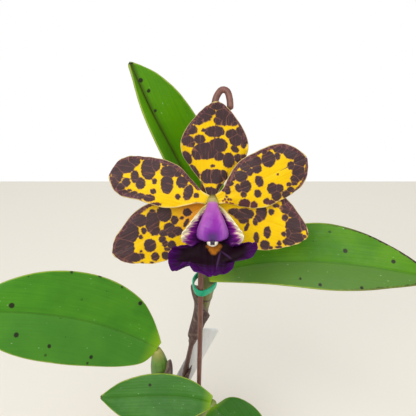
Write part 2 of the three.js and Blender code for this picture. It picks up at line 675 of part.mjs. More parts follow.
// The plant
piece(plant, 'flower_stalk', cut(pedicelGeometry(), caneGeometry(canes.flowering, gap)), colours.stalk);
for (const [name, cane] of Object.entries(canes)) {
  piece(plant, `pseudobulb_${name}`, cut(caneGeometry(cane), rhizomeGeometry(gap)), colours.pseudobulb);
}
for (const [name, { bearer, ...shape }] of Object.entries(leaves)) {
  const blade = sheet(bladeSurface({ waves: 3, ...shape }), leaf, thinning(leaf));
  piece(plant, name, cut(blade, caneGeometry(canes[bearer], gap), pedicelGeometry(gap)), colours.leaf, 0.4);
}
for (const [name, shape] of Object.entries(sheaths)) {
  piece(plant, name, sheet(sheathSurface(shape), sheath, () => sheath.thickness), colours.sheath, 0.8);
}
piece(plant, 'rhizome', rhizomeGeometry(0), colours.rhizome);

// The pot and what stands in it
piece(plant, 'pot', potGeometry(), colours.clay, 0.9);
piece(plant, 'bark_medium', mediumGeometry(), colours.bark, 0.95);
piece(plant, 'stake', wireGeometry(0), colours.wire, 0.5);
piece(plant, 'label', labelGeometry(0), colours.label, 0.4);
for (const [name, shape] of Object.entries(clips)) {
  piece(plant, name, clipGeometry(shape), colours.clip, 0.35);
}

export default plant;
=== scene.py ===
"""Looks of a potted cattleya orchid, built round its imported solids.

Each class builds one sub-assembly as fine meshes where its solids stand, and each
finish dresses a surface. Shapes are worked out in millimetres and kept in metres.
"""

import logging
import math
from dataclasses import dataclass
from enum import Enum
from functools import partial
from typing import Callable, ClassVar, Mapping, Sequence

import bmesh
import bpy
import numpy as np
from mathutils import Matrix, Vector


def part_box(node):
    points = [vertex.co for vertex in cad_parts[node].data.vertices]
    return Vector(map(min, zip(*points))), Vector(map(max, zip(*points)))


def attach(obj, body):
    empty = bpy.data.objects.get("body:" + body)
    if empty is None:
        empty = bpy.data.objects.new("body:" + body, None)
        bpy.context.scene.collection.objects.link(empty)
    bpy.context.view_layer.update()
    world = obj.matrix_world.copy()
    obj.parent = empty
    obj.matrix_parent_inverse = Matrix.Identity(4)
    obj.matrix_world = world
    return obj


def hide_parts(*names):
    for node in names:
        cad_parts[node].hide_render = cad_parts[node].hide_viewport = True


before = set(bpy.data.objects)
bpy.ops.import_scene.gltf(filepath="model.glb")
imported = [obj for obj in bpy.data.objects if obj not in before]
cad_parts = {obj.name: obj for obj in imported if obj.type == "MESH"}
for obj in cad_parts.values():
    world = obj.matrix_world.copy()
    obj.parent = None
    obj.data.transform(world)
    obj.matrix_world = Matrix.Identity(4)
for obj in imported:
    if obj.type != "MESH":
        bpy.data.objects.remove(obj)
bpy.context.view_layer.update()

LOG = logging.getLogger("cattleya")
# Metres in a millimetre, and millimetres in a metre
MM = 0.001
PER_METRE = 1000.0
TURN = 2 * math.pi
# Air left between a ring clip and its stem, in millimetres
CLIP_AIR = 0.3

Array = np.ndarray
Point = Sequence[float]
Points = Sequence[Point]
Values = dict[str, Array]
Input = float | str | Point | bpy.types.Node | bpy.types.NodeSocket
Marks = Sequence[bpy.types.NodeSocket]
Adder = Callable[..., bpy.types.Node]


class Node(str, Enum):
    """Kinds of shader node that the finishes use."""

    ATTRIBUTE = "ShaderNodeAttribute"
    BUMP = "ShaderNodeBump"
    COORDINATES = "ShaderNodeTexCoord"
    LIGHT_PATH = "ShaderNodeLightPath"
    MAPPING = "ShaderNodeMapping"
    MATH = "ShaderNodeMath"
    MIX = "ShaderNodeMix"
    NOISE = "ShaderNodeTexNoise"
    OUTPUT = "ShaderNodeOutputMaterial"
    PRINCIPLED = "ShaderNodeBsdfPrincipled"
    RAMP = "ShaderNodeValToRGB"
    RANGE = "ShaderNodeMapRange"
    SEPARATE = "ShaderNodeSeparateXYZ"
    VORONOI = "ShaderNodeTexVoronoi"


class Face(Enum):
    """Sides of a blade, as its `pattern` attribute keeps them in z."""

    UPPER = 1.0
    RIM = 0.0
    LOWER = -1.0


def linear(hex_colour: str) -> tuple[float, float, float, float]:
    """Turns an sRGB hex colour to a linear one.

    Args:
        hex_colour: Six hex digits, with or without a leading hash.

    Returns:
        Linear red, green, blue and an alpha of 1.
    """
    digits = hex_colour.lstrip("#")
    shares = [int(digits[i:i + 2], 16) / 255 for i in (0, 2, 4)]
    red, green, blue = (c / 12.92 if c <= 0.04045 else ((c + 0.055) / 1.055) ** 2.4 for c in shares)
    return red, green, blue, 1.0


def add_node(
    tree: bpy.types.NodeTree,
    kind: Node,
    *inputs: Input,
    sockets: Mapping[str, Input] | None = None,
    stops: Sequence[tuple[float, str]] = (),
    **settings: str,
) -> bpy.types.Node:
    """Adds a node with its settings and links. A mix blends colours.

    Args:
        tree: The tree that gets the node.
        kind: What node it is.
        inputs: Values, hex colours, nodes or sockets for its open sockets, in their order.
        sockets: The same by socket name.
        stops: A ramp's places and hex colours.
        settings: The node's own properties.

    Returns:
        The new node.
    """
    node = tree.nodes.new(kind.value)
    if kind is Node.MIX:
        node.data_type = "RGBA"
    for name, value in settings.items():
        setattr(node, name, value)
    if stops:
        elements = node.color_ramp.elements
        while len(elements) < len(stops):
            elements.new(1.0)
        for element, (place, colour) in zip(elements, stops):
            element.position = place
            element.color = linear(colour)
    filled = list(zip((socket for socket in node.inputs if socket.enabled), inputs))
    filled += [(node.inputs[name], value) for name, value in (sockets or {}).items()]
    for socket, value in filled:
        if isinstance(value, bpy.types.Node):
            value = next(out for out in value.outputs if out.enabled)
        if isinstance(value, bpy.types.NodeSocket):
            tree.links.new(value, socket)
        else:
            socket.default_value = linear(value) if isinstance(value, str) else value
    return node


def coat(
    add: Adder, under: Input, over: Input, value: Input, start: float, end: float, strength: float = 1.0
) -> bpy.types.Node:
    """Lays one colour over another, by a value's way from `start` to `end`, up to a strength."""
    share = add(Node.RANGE, value, start, end, 0.0, strength)
    return add(Node.MIX, share, under, over)


def streaks(add: Adder, place: Input, scale: Point, detail: float, size: float = 1.0) -> bpy.types.Node:
    """Returns a noise that is drawn out, with its own scale along each axis."""
    return add(Node.NOISE, add(Node.MAPPING, place, sockets={"Scale": scale}), size, detail)


def skin(
    add: Adder,
    colour: Input,
    roughness: Input,
    reliefs: Sequence[tuple[Input, float, float]],
    more: Mapping[str, Input] | None = None,
) -> bpy.types.Node:
    """Adds a surface shader over reliefs that lie one on the other.

    Args:
        add: Adds a node.
        colour: The base colour.
        roughness: The roughness.
        reliefs: Each one's height, strength and depth in millimetres.
        more: Other inputs of the shader, by socket name.

    Returns:
        The shader.
    """
    raised: dict[str, Input] = {}
    for height, strength, depth in reliefs:
        bump = {"Height": height, "Strength": strength, "Distance": depth * MM}
        raised = {"Normal": add(Node.BUMP, sockets=bump | raised)}
    looks = {"Base Color": colour, "Roughness": roughness}
    return add(Node.PRINCIPLED, sockets=looks | (more or {}) | raised)


def ease(x: Array, low: float, high: float) -> Array:
    """Returns 0 below `low`, 1 above `high`, and a smooth step between."""
    t = np.clip((np.asarray(x, float) - low) / (high - low), 0, 1)
    return t * t * (3 - 2 * t)


def unit(vectors: Array) -> Array:
    """Returns the vectors at length 1."""
    return vectors / np.maximum(np.linalg.norm(vectors, axis=-1, keepdims=True), 1e-9)


def hermite(a: Array, b: Array, leave: Array, arrive: Array, t: Array) -> Array:
    """Returns the cubic from `a` to `b` with those end tangents, at `t` from 0 to 1."""
    curve = (2 * a - 2 * b + leave + arrive) * t**3 + (-3 * a + 3 * b - 2 * leave - arrive) * t**2
    return curve + leave * t + a


def square_to(tangent: Array, facing: Point) -> tuple[Array, Array]:
    """Returns unit vectors square to a tangent: the one nearest `facing`, and the one beside it."""
    forward = np.asarray(facing, float)
    ahead = unit(forward - (tangent @ forward)[..., None] * tangent)
    return ahead, np.cross(tangent, ahead)


def outline_at(points: Points, u: Array) -> Array:
    """Reads a spline through outline points.

    Args:
        points: (distance along the rib, half width) pairs.
        u: Shares of the way through the points, from 0 to 1.

    Returns:
        A pair for each value of u.
    """
    knots = np.asarray(points, float)
    last = len(knots) - 1
    place = np.clip(u, 0, 1) * last
    index = np.minimum(place.astype(int), last - 1)
    before, a = knots[np.maximum(index - 1, 0)], knots[index]
    b, after = knots[index + 1], knots[np.minimum(index + 2, last)]
    return hermite(a, b, (b - before) / 2, (after - a) / 2, (place - index)[..., None])


class Path:
    """A curve in millimetres, read by its share of length."""

    SAMPLES: ClassVar[int] = 60

    def __init__(self, points: Array) -> None:
        """Keeps a fine polyline and its lengths.

        Args:
            points: The polyline's points.
        """
        self.points = points
        steps = np.linalg.norm(np.diff(points, axis=0), axis=1)
        self.reach = np.concatenate([[0], np.cumsum(steps)])
        self.length = float(self.reach[-1])
        self.tangents = unit(np.gradient(points, self.reach, axis=0))

    @classmethod
    def through(cls, knots: Points) -> "Path":
        """Returns the centripetal curve through the knots."""
        inner = np.asarray(knots, float)
        p = np.vstack([2 * inner[0] - inner[1], inner, 2 * inner[-1] - inner[-2]])
        t = np.linspace(0, 1, cls.SAMPLES, endpoint=False)[:, None]
        parts = []
        for x0, x1, x2, x3 in zip(p, p[1:], p[2:], p[3:]):
            d0, d1, d2 = (math.sqrt(math.dist(a, b)) for a, b in ((x0, x1), (x1, x2), (x2, x3)))
            leave = ((x1 - x0) / d0 - (x2 - x0) / (d0 + d1) + (x2 - x1) / d1) * d1
            arrive = ((x2 - x1) / d1 - (x3 - x1) / (d1 + d2) + (x3 - x2) / d2) * d1
            parts.append(hermite(x1, x2, leave, arrive, t))
        return cls(np.vstack([*parts, inner[-1]]))

    @classmethod
    def bezier(cls, knots: Points) -> "Path":
        """Returns the cubic Bezier curve of four knots."""
        a, b, c, d = np.asarray(knots, float)
        t = np.linspace(0, 1, 6 * cls.SAMPLES)[:, None]
        r = 1 - t
        return cls(a * r**3 + 3 * b * r * r * t + 3 * c * r * t * t + d * t**3)

    def at(self, share: Array) -> tuple[Array, Array]:
        """Reads places on the curve.

        Args:
            share: Shares of the curve's length, from 0 to 1.

        Returns:
            The points and the unit tangents there.
        """
        reach = np.clip(share, 0, 1) * self.length
        point = np.stack([np.interp(reach, self.reach, c) for c in self.points.T], -1)
        tangent = np.stack([np.interp(reach, self.reach, c) for c in self.tangents.T], -1)
        return point, unit(tangent)


def radii_at(stations: Points, share: Array) -> tuple[Array, Array]:
    """Reads half widths and half depths between stations.

    Args:
        stations: (share of length, half width) pairs, with the half depth third where it differs.
        share: Shares of length.

    Returns:
        Half widths and half depths.
    """
    inner = np.array([(station[0], station[1], station[-1]) for station in stations], float)
    p = np.vstack([2 * inner[0] - inner[1], inner, 2 * inner[-1] - inner[-2]])
    t = np.linspace(0, 1, 40)[:, None]
    parts = [hermite(b, c, (c - a) / 2, (d - b) / 2, t) for a, b, c, d in zip(p, p[1:], p[2:], p[3:])]
    curve = np.vstack(parts)
    return np.interp(share, curve[:, 0], curve[:, 1]), np.interp(share, curve[:, 0], curve[:, 2])


def grid(rows: int, columns: int) -> tuple[Array, Array]:
    """Returns u from 0 to 1 down the rows and v from -1 to 1 across the columns."""
    return np.meshgrid(np.linspace(0, 1, rows + 1), np.linspace(-1, 1, columns + 1), indexing="ij")


def linked(name: str, data: bpy.types.ID) -> bpy.types.Object:
    """Makes an object of the data and links it to the scene."""
    made = bpy.data.objects.new(name, data)
    bpy.context.scene.collection.objects.link(made)
    return made


def finished(name: str, mesh: bpy.types.Mesh) -> bpy.types.Object:
    """Turns a mesh's faces outwards, shades them smooth and links it as an object."""
    bm = bmesh.new()
    bm.from_mesh(mesh)
    if bm.calc_volume(signed=True) < 0:
        bmesh.ops.reverse_faces(bm, faces=bm.faces)
    bm.to_mesh(mesh)
    bm.free()
    mesh.shade_smooth()
    return linked(name, mesh)


def loft(name: str, rings: Array, values: Values, looped: bool = False) -> bpy.types.Object:
    """Makes a closed mesh from rings that lie one behind the other.

    Args:
        name: Name of the piece.
        rings: Points in millimetres, as ring by place round the ring by xyz.
        values: Numbers or vectors for each point, kept as the mesh's attributes.
        looped: Whether the last ring joins the first, in place of two closed ends.

    Returns:
        The new object, smooth shaded.
    """
    count, sides = rings.shape[:2]
    vertices = rings.reshape(-1, 3)
    place_round = np.arange(sides)
    after = (place_round + 1) % sides
    row = np.arange(count if looped else count - 1)[:, None]
    low, high = row * sides, (row + 1) % count * sides
    quads = np.stack([low + place_round, high + place_round, high + after, low + after], -1)
    faces = quads.reshape(-1, 4).tolist()
    if not looped:
        foot, top = len(vertices), (count - 1) * sides
        faces += [(foot, a, b) for a, b in zip(place_round.tolist(), after.tolist())]
        faces += [(foot + 1, top + b, top + a) for a, b in zip(place_round.tolist(), after.tolist())]
        vertices = np.vstack([vertices, rings[0].mean(0), rings[-1].mean(0)])
    mesh = bpy.data.meshes.new(name)
    mesh.from_pydata((vertices * MM).tolist(), [], faces)
    for key, value in values.items():
        kept = value.reshape(count * sides, -1)
        if not looped:
            tips = [value[end].reshape(sides, -1).mean(0) for end in (0, -1)]
            kept = np.vstack([kept, *tips])
        kind, slot = ("FLOAT_VECTOR", "vector") if kept.shape[1] == 3 else ("FLOAT", "value")
        mesh.attributes.new(key, kind, "POINT").data.foreach_set(slot, kept.astype(np.float32).ravel())
    return finished(name, mesh)


def sheet(name: str, points: Array, above: Array, below: Array, values: Values) -> bpy.types.Object:
    """Makes a thin closed blade on both sides of a surface.

    Args:
        name: Name of the piece.
        points: The middle surface, as row by column by xyz.
        above: Thickness over the middle surface.
        below: Thickness under it.
        values: Numbers for each point; `s` and `w` are its place along and across, in millimetres.

    Returns:
        The new object.
    """
    along = np.gradient(points, axis=0)
    across = np.gradient(points, axis=1)
    normal = unit(np.cross(across, along))
    upper = points + normal * above[..., None]
    lower = points - normal * below[..., None]
    rim = (above + below)[..., None] * 0.35
    right = points[:, -1:] + unit(across[:, -1:]) * rim[:, -1:]
    left = points[:, :1] - unit(across[:, :1]) * rim[:, :1]
    rings = np.concatenate([upper, right, lower[:, ::-1], left], axis=1)
    kept = {
        key: np.concatenate([value, value[:, -1:], value[:, ::-1], value[:, :1]], axis=1)
        for key, value in values.items()
    }
    side = np.full(points.shape[:2], Face.UPPER.value)
    edge = np.full((len(points), 1), Face.RIM.value)
    faces = np.concatenate([side, edge, side * Face.LOWER.value, edge], axis=1)
    kept["pattern"] = np.stack([kept.pop("s"), kept.pop("w"), faces], -1)
    return loft(name, rings, kept)


def rod(
    name: str,
    path: Path,
    radii: Callable[[Array], tuple[Array, Array]],
    facing: Point,
    rows: int,
    sides: int,
    relief: Callable[[Array, Array], Array] | None = None,
) -> bpy.types.Object:
    """Makes a closed rod of oval rings along a curve.

    Args:
        name: Name of the piece.
        path: The rod's middle line.
        radii: Half widths and half depths for shares of the length.
        facing: Direction that the half depth lies in.
        rows: Rings along the rod.
        sides: Points round each ring.
        relief: Height in millimetres for shares of the length and angles in radians.

    Returns:
        The new object, with `pattern` holding the distance along and round the rod.
    """
    share = np.linspace(0, 1, rows + 1)
    centre, tangent = path.at(share)
    ahead, side = square_to(tangent, facing)
    angle = np.arange(sides) * TURN / sides
    t, turn = np.meshgrid(share, angle, indexing="ij")
    wide, deep = (np.asarray(r)[:, None] for r in radii(share))
    lift = relief(t, turn) if relief else np.zeros_like(t)
    rings = centre[:, None] + side[:, None] * ((wide + lift) * np.cos(turn))[..., None]
    rings = rings + ahead[:, None] * ((deep + lift) * np.sin(turn))[..., None]
    around = np.minimum(turn, TURN - turn) * wide
    pattern = np.stack([t * path.length, around, np.cos(turn)], -1)
    return loft(name, rings, {"pattern": pattern, "share": t})


def joined(parts: Sequence[bpy.types.Object]) -> bpy.types.Object:
    """Joins objects into the first of them."""
    first = parts[0]
    with bpy.context.temp_override(
            active_object=first, object=first, selected_objects=parts, selected_editable_objects=parts):
        bpy.ops.object.join()
    return first


def place(piece: bpy.types.Object, node: str, slot: str, material: bpy.types.Material) -> None:
    """Dresses a piece, and lets it stand for its solid and ride on the plant.

    Args:
        piece: The new mesh.
        node: The solid that it stands for.
        slot: The record's material slot; not used.
        material: Its finish.
    """
    piece.data.materials.append(material)
    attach(piece, "root")
    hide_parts(node)
    low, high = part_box(node)
    co = np.empty(len(piece.data.vertices) * 3, np.float32)
    piece.data.vertices.foreach_get("co", co)
    co = co.reshape(-1, 3)
    out = max(np.max(np.array(low) - co.min(0)), np.max(co.max(0) - np.array(high))) / MM
    LOG.info("%s: %d faces, %.1f mm beyond its solid", piece.name, len(piece.data.polygons), out)


@dataclass(frozen=True)
class Finish:
    """A surface of one material and how it was made or grew."""

    name: str
    # Mesh attributes that it reads; `place` is the place on the plant, in millimetres
    reads: ClassVar[Sequence[str]] = ("place",)

    def build(self, add: Adder, marks: Marks) -> bpy.types.Node:
        """Adds the finish's nodes over the sockets that it reads, and returns its shader."""
        raise NotImplementedError

    def mark(self, add: Adder, name: str) -> bpy.types.NodeSocket:
        """Returns the socket of one thing that the finish reads."""
        if name == "place":
            metres = add(Node.COORDINATES).outputs["Object"]
            return add(Node.MAPPING, metres, sockets={"Scale": (PER_METRE,) * 3}).outputs["Vector"]
        return add(Node.ATTRIBUTE, attribute_name=name).outputs["Vector" if name == "pattern" else "Fac"]

    def material(self) -> bpy.types.Material:
        """Returns the finish's material, made on first use."""
        found = bpy.data.materials.get(self.name)
        if found:
            return found
        material = bpy.data.materials.new(self.name)
        material.use_nodes = True
        material.node_tree.nodes.clear()
        add = partial(add_node, material.node_tree)
        add(Node.OUTPUT, self.build(add, [self.mark(add, name) for name in self.reads]))
        return material


@dataclass(frozen=True)
class SpottedTepal(Finish):
    """Living sepal or petal: thin, satin and slightly translucent, with sap spots under the skin."""

    reads = ("pattern", "spots", "seams", "margin", "base", "blush", "maroon", "fringe")
    ground: str = "#f8d200"
    shade: str = "#f0ba00"
    blush: str = "#f0a020"
    edge: str = "#e8d08a"
    spot: str = "#382829"
    spot_light: str = "#543e40"
    maroon: str = "#860c34"
    net: str = "#5a3440"
    halo: str = "#b07838"
    vein: str = "#946050"
    base: str = "#b4b030"
    back: str = "#c9c060"
    # Veins run lengthwise about a millimetre apart, spot rims wander by a quarter of a
    # millimetre, and the dark fringe is netted in cells of about two millimetres
    vein_spacing: float = 1.0
    ragged: float = 0.55
    net_spacing: float = 2.1

    def build(self, add: Adder, marks: Marks) -> bpy.types.Node:
        """Adds the nodes and returns the shader."""
        pattern, spots, seams, margin, base, blush, maroon, fringe = marks
        wander = add(Node.NOISE, pattern, 0.9, 3.0)
        offset = add(Node.RANGE, wander, 0.3, 0.7, -self.ragged / 2, self.ragged / 2)
        rim = add(Node.MATH, spots, offset, operation="ADD")
        veins = streaks(add, pattern, (0.12, 1 / self.vein_spacing, 0.0), 3.0)
        grain = add(Node.NOISE, pattern, 3.0, 3.0)
        ground = add(Node.MIX, add(Node.NOISE, pattern, 0.16, 2.0), self.ground, self.shade)
        warmed = add(Node.MIX, blush, ground, self.blush)
        lined = add(Node.MIX, 0.3, warmed, veins, blend_type="SOFT_LIGHT")
        edged = coat(add, lined, self.edge, margin, 0.6, 0.15, 0.6)
        haloed = coat(add, edged, self.halo, rim, 0.42, 0.04, 0.8)
        spot = coat(add, self.spot, self.spot_light, grain, 0.3, 0.7)
        stained = add(Node.MIX, maroon, spot, self.maroon)
        tinged = add(Node.MIX, add(Node.MATH, fringe, 0.6, operation="MULTIPLY"), stained, self.net)
        # The lighter lines in the dark: seams between spots, fine veins and a faint net
        cells = add(Node.VORONOI, pattern, 1 / self.net_spacing, feature="DISTANCE_TO_EDGE")
        net = add(Node.RANGE, cells, 0.09, 0.02, 0.0, fringe)
        seam = add(Node.RANGE, seams, 0.36, 0.06, 0.0, 0.8)
        fine = add(Node.RANGE, veins, 0.56, 0.7, 0.0, 0.45)
        lines = add(Node.MATH, seam, fine, operation="MAXIMUM")
        faint = add(Node.MATH, net, 0.7, operation="MULTIPLY")
        netted = add(Node.MIX, add(Node.MATH, lines, faint, operation="MAXIMUM"), tinged, self.vein)
        spotted = coat(add, haloed, netted, rim, 0.16, -0.14)
        hemmed = coat(add, spotted, self.edge, margin, 0.22, 0.06, 0.75)
        tinted = add(Node.MIX, base, hemmed, self.base)
        side = add(Node.SEPARATE, pattern).outputs["Z"]
        colour = coat(add, tinted, self.back, side, 0.2, -0.8, 0.45)
        return skin(add, colour, 0.5, ((veins, 0.5, 0.12), (grain, 0.25, 0.08)), {
            "Specular IOR Level": 0.2, "Subsurface Weight": 0.06,
            "Subsurface Radius": (0.002, 0.0012, 0.0006)})


@dataclass(frozen=True)
class VelvetLip(Finish):
    """Living lip: velvety mid lobe, with streaked side lobes that pale to a cream margin."""

    reads = ("pattern", "margin", "along", "callus", "crests")
    heart: str = "#190410"
    purple: str = "#440858"
    rim: str = "#641c84"
    streak: str = "#8a2090"
    cream: str = "#f8eec8"
    blush: str = "#d49ab0"
    callus: str = "#b8701c"
    base: str = "#c2b24a"
    # A painted highlight along the crests of the mid lobe's folds
    crest_highlight: str = "#5a3a6a"
    sheen: str = "#6a2090"

    def build(self, add: Adder, marks: Marks) -> bpy.types.Node:
        """Adds the nodes and returns the shader."""
        pattern, margin, along, callus, crests = marks
        # Streaks cross the side lobes every millimetre or so
        ribs = streaks(add, pattern, (1.1, 0.14, 0.0), 4.0)
        pile = add(Node.NOISE, pattern, 4.0, 3.0)
        shift = add(Node.RANGE, ribs, 0.3, 0.7, -1.7, 1.7)
        deep = add(Node.MATH, margin, shift, operation="ADD")
        # The side lobes turn purple right to the edge at their lower ends
        ends = add(Node.RANGE, along, 0.29, 0.39, 0.0, 5.0)
        inner = add(Node.MATH, deep, ends, operation="ADD")
        side = add(Node.RAMP, add(Node.RANGE, inner, 1.0, 8.2), stops=(
            (0.0, self.cream), (0.3, self.cream), (0.46, self.blush), (0.64, self.streak),
            (1.0, self.purple)))
        front = add(Node.RAMP, add(Node.RANGE, deep, -1.6, 8.0), stops=(
            (0.0, self.rim), (0.14, self.purple), (0.75, self.heart), (1.0, self.heart)))
        whole = coat(add, side, front, along, 0.3, 0.43)
        rooted = coat(add, whole, self.base, along, 0.12, 0.03, 0.8)
        padded = coat(add, rooted, self.callus, callus, 0.5, -0.7)
        # Painted highlight: thin lighter lines along the crests of the mid lobe's folds
        colour = add(Node.MIX, crests, padded, self.crest_highlight)
        return skin(add, colour, 0.6, ((pile, 0.5, 0.1), (ribs, 0.4, 0.2)), {
            "Specular IOR Level": 0.1, "Sheen Weight": 0.03, "Sheen Roughness": 0.5, "Sheen Tint": self.sheen,
            "Subsurface Weight": 0.02, "Subsurface Radius": (0.001, 0.0006, 0.001)})


@dataclass(frozen=True)
class WaxyColumn(Finish):
    """Living column: smooth and waxy, pink at the sides and violet down the middle."""

    reads = ("pattern", "share")
    violet: str = "#8c189c"
    flush: str = "#9830a8"
    pink: str = "#b460b8"
    flank: str = "#9450a0"
    # Painted shade, deepening the column toward its cap end
    low: str = "#6c2c9c"
    rise: str = "#b060b0"
    stem: str = "#b8849c"
    shade: str = "#4c3468"

    def build(self, add: Adder, marks: Marks) -> bpy.types.Node:
        """Adds the nodes and returns the shader."""
        pattern, share = marks
        lines = streaks(add, pattern, (0.1, 1.3, 1.0), 3.0)
        off = add(Node.MATH, add(Node.SEPARATE, pattern).outputs["Z"], operation="ABSOLUTE")
        bent = add(Node.MATH, lines, 0.5, off, operation="MULTIPLY_ADD")
        body = add(Node.RAMP, add(Node.RANGE, bent, 0.4, 1.15), stops=(
            (0.0, self.violet), (0.4, self.flush), (0.75, self.pink), (1.0, self.flank)))
        # Painted shade: the column deepens to a bluish violet toward its cap end
        deepened = coat(add, body, self.low, share, 0.5, 0.9, 0.5)
        lit = coat(add, deepened, self.rise, share, 0.5, 0.1, 0.8)
        stemmed = coat(add, lit, self.stem, share, 0.08, 0.0, 0.9)
        # The hollow under the cap is in shade
        near = add(Node.RANGE, share, 0.72, 0.84)
        middle = add(Node.RANGE, off, 0.55, 0.15, 0.0, 0.85)
        colour = add(Node.MIX, add(Node.MATH, near, middle, operation="MULTIPLY"), stemmed, self.shade)
        return skin(add, colour, 0.38, ((lines, 0.35, 0.15),), {
            "Specular IOR Level": 0.3, "Subsurface Weight": 0.12, "Subsurface Radius": (0.002, 0.001, 0.002),
            "Coat Weight": 0.1})


@dataclass(frozen=True)
class AntherSkin(Finish):
    """Living anther cap: opaque ivory rim round a dark pocket of painted shade."""

    reads = ("pattern", "pocket")
    ivory: str = "#f3ead0"
    pocket: str = "#2c1838"

    def build(self, add: Adder, marks: Marks) -> bpy.types.Node:
        """Adds the nodes and returns the shader."""
        pattern, pocket = marks
        grain = add(Node.NOISE, pattern, 2.5, 3.0)
        # The dark pocket is painted shade
        edge = add(Node.MATH, grain, 0.25, pocket, operation="MULTIPLY_ADD")
        colour = coat(add, self.ivory, self.pocket, edge, 0.5, 0.8)
        return skin(add, colour, 0.45, ((grain, 0.2, 0.1),), {
            "Subsurface Weight": 0.1, "Subsurface Radius": (0.001, 0.001, 0.0008)})


@dataclass(frozen=True)
class CuticleLeaf(Finish):
    """Living leathery leaf: a waxy cuticle over green tissue, satin, with freckles and a pale margin."""

    reads = ("pattern", "margin", "along", "marks")
    green: str = "#4a8f0e"
    deep: str = "#2f7208"
    sheen_cast: str = "#5f8f45"
    under: str = "#7d9a52"
    margin: str = "#a4b43e"
    rib: str = "#2f5f10"
    freckle: str = "#231f14"
    scar: str = "#a8c890"
    base: str = "#90b414"
    singe: str = "#3a2a1c"
    tip: str = ""
    # How far dead brown freckles run together along the margins: left then right of the rib
    singed: tuple[float, float] = (0.0, 0.0)
    # Sides of the rib that carry a painted sheen, a greyer cast, from none (0) to all (1): left then right
    sheen_halves: tuple[float, float] = (0.0, 0.0)
    rib_depth: float = 0.5
    rib_reach: float = 0.9
    vein_spacing: float = 0.8
    freckle_spacing: float = 5.0

    @staticmethod
    def halves(add: Adder, across: Input, shares: tuple[float, float]) -> bpy.types.Node:
        """Returns the strengths that hold to the left and to the right of the rib."""
        left = add(Node.RANGE, across, 0.5, -1.5, 0.0, shares[0])
        right = add(Node.RANGE, across, -0.5, 1.5, 0.0, shares[1])
        return add(Node.MATH, left, right, operation="MAXIMUM")

    @staticmethod
    def fleck(add: Adder, under: Input, over: str, cells: bpy.types.Node, *fade: float) -> bpy.types.Node:
        """Lays flecks of mixed sizes over a colour.

        Args:
            add: Adds a node.
            under: The colour that they lie on.
            over: Their own colour.
            cells: Cells with a fleck each.
            fade: Least draw that gets a fleck, largest radius, rim from and to, and strength.

        Returns:
            The flecked colour.
        """
        least, largest, start, end, strength = fade
        size = add(Node.RANGE, cells.outputs["Color"], least, 1.0, 0.0, largest)
        beyond = add(Node.MATH, cells.outputs["Distance"], size, operation="SUBTRACT")
        return coat(add, under, over, beyond, start, end, strength)

    def build(self, add: Adder, marks: Marks) -> bpy.types.Node:
        """Adds the nodes and returns the shader."""
        pattern, margin, along, spots = marks
        axes = add(Node.SEPARATE, pattern).outputs
        tissue = coat(add, self.green, self.deep, add(Node.NOISE, pattern, 0.05, 3.0), 0.35, 0.65)
        veins = streaks(add, pattern, (0.03, 1 / self.vein_spacing, 0.0), 4.0)
        lined = add(Node.MIX, 0.3, tissue, veins, blend_type="SOFT_LIGHT")
        # Painted sheen: a greyer cast over one half of the blade, standing for the light that half catches
        sheen_halves = add(Node.MIX, self.halves(add, axes["Y"], self.sheen_halves), lined, self.sheen_cast)
        off_rib = add(Node.MATH, axes["Y"], operation="ABSOLUTE")
        ribbed = coat(add, sheen_halves, self.rib, off_rib, self.rib_reach, 0.1, self.rib_depth)
        based = coat(add, ribbed, self.base, along, 0.17, 0.03, 0.75)
        flow = add(Node.NOISE, pattern, 0.35, 4.0)
        wander = add(Node.MATH, flow, -0.7, margin, operation="MULTIPLY_ADD")
        edged = coat(add, based, self.margin, wander, 0.1, -0.15, 0.75)
        dots = add(Node.VORONOI, pattern, 1 / self.freckle_spacing)
        speckled = self.fleck(add, edged, self.freckle, dots, 0.55, 0.15, 0.02, -0.03, 0.9)
        # Light scars, a third of a millimetre wide and drawn out along the leaf
        nicks = add(Node.VORONOI, add(Node.MAPPING, pattern, sockets={"Scale": (0.26, 0.5, 0.0)}), 1.0)
        scarred = self.fleck(add, speckled, self.scar, nicks, 0.3, 0.16, 0.03, -0.08, 0.62)
        ragged = add(Node.MATH, flow, 0.6, spots, operation="MULTIPLY_ADD")
        marked = coat(add, scarred, self.freckle, ragged, 0.75, 0.35, 0.95)
        # Dead tissue eats into the margins of the leaf's outer half
        rusty = add(Node.NOISE, pattern, 0.55, 4.0)
        depth = add(Node.MATH, rusty, -2.6, margin, operation="MULTIPLY_ADD")
        band = add(Node.RANGE, depth, -0.5, -0.9)
        old = add(Node.RANGE, along, 0.45, 0.65, 0.0, self.halves(add, axes["Y"], self.singed))
        singed = add(Node.MIX, add(Node.MATH, band, old, operation="MULTIPLY"), marked, self.singe)
        tipped = coat(add, singed, self.tip or self.green, along, 0.965, 0.99, 1.0 if self.tip else 0.0)
        colour = coat(add, tipped, self.under, axes["Z"], 0.2, -0.6, 0.85)
        gloss = add(Node.RANGE, flow, 0.3, 0.7, 0.36, 0.5)
        pores = add(Node.NOISE, pattern, 1.6, 4.0)
        return skin(add, colour, gloss, ((veins, 0.2, 0.2), (pores, 0.2, 0.2)), {
            "Specular IOR Level": 0.2, "Subsurface Weight": 0.04,
            "Subsurface Radius": (0.001, 0.002, 0.0006)})


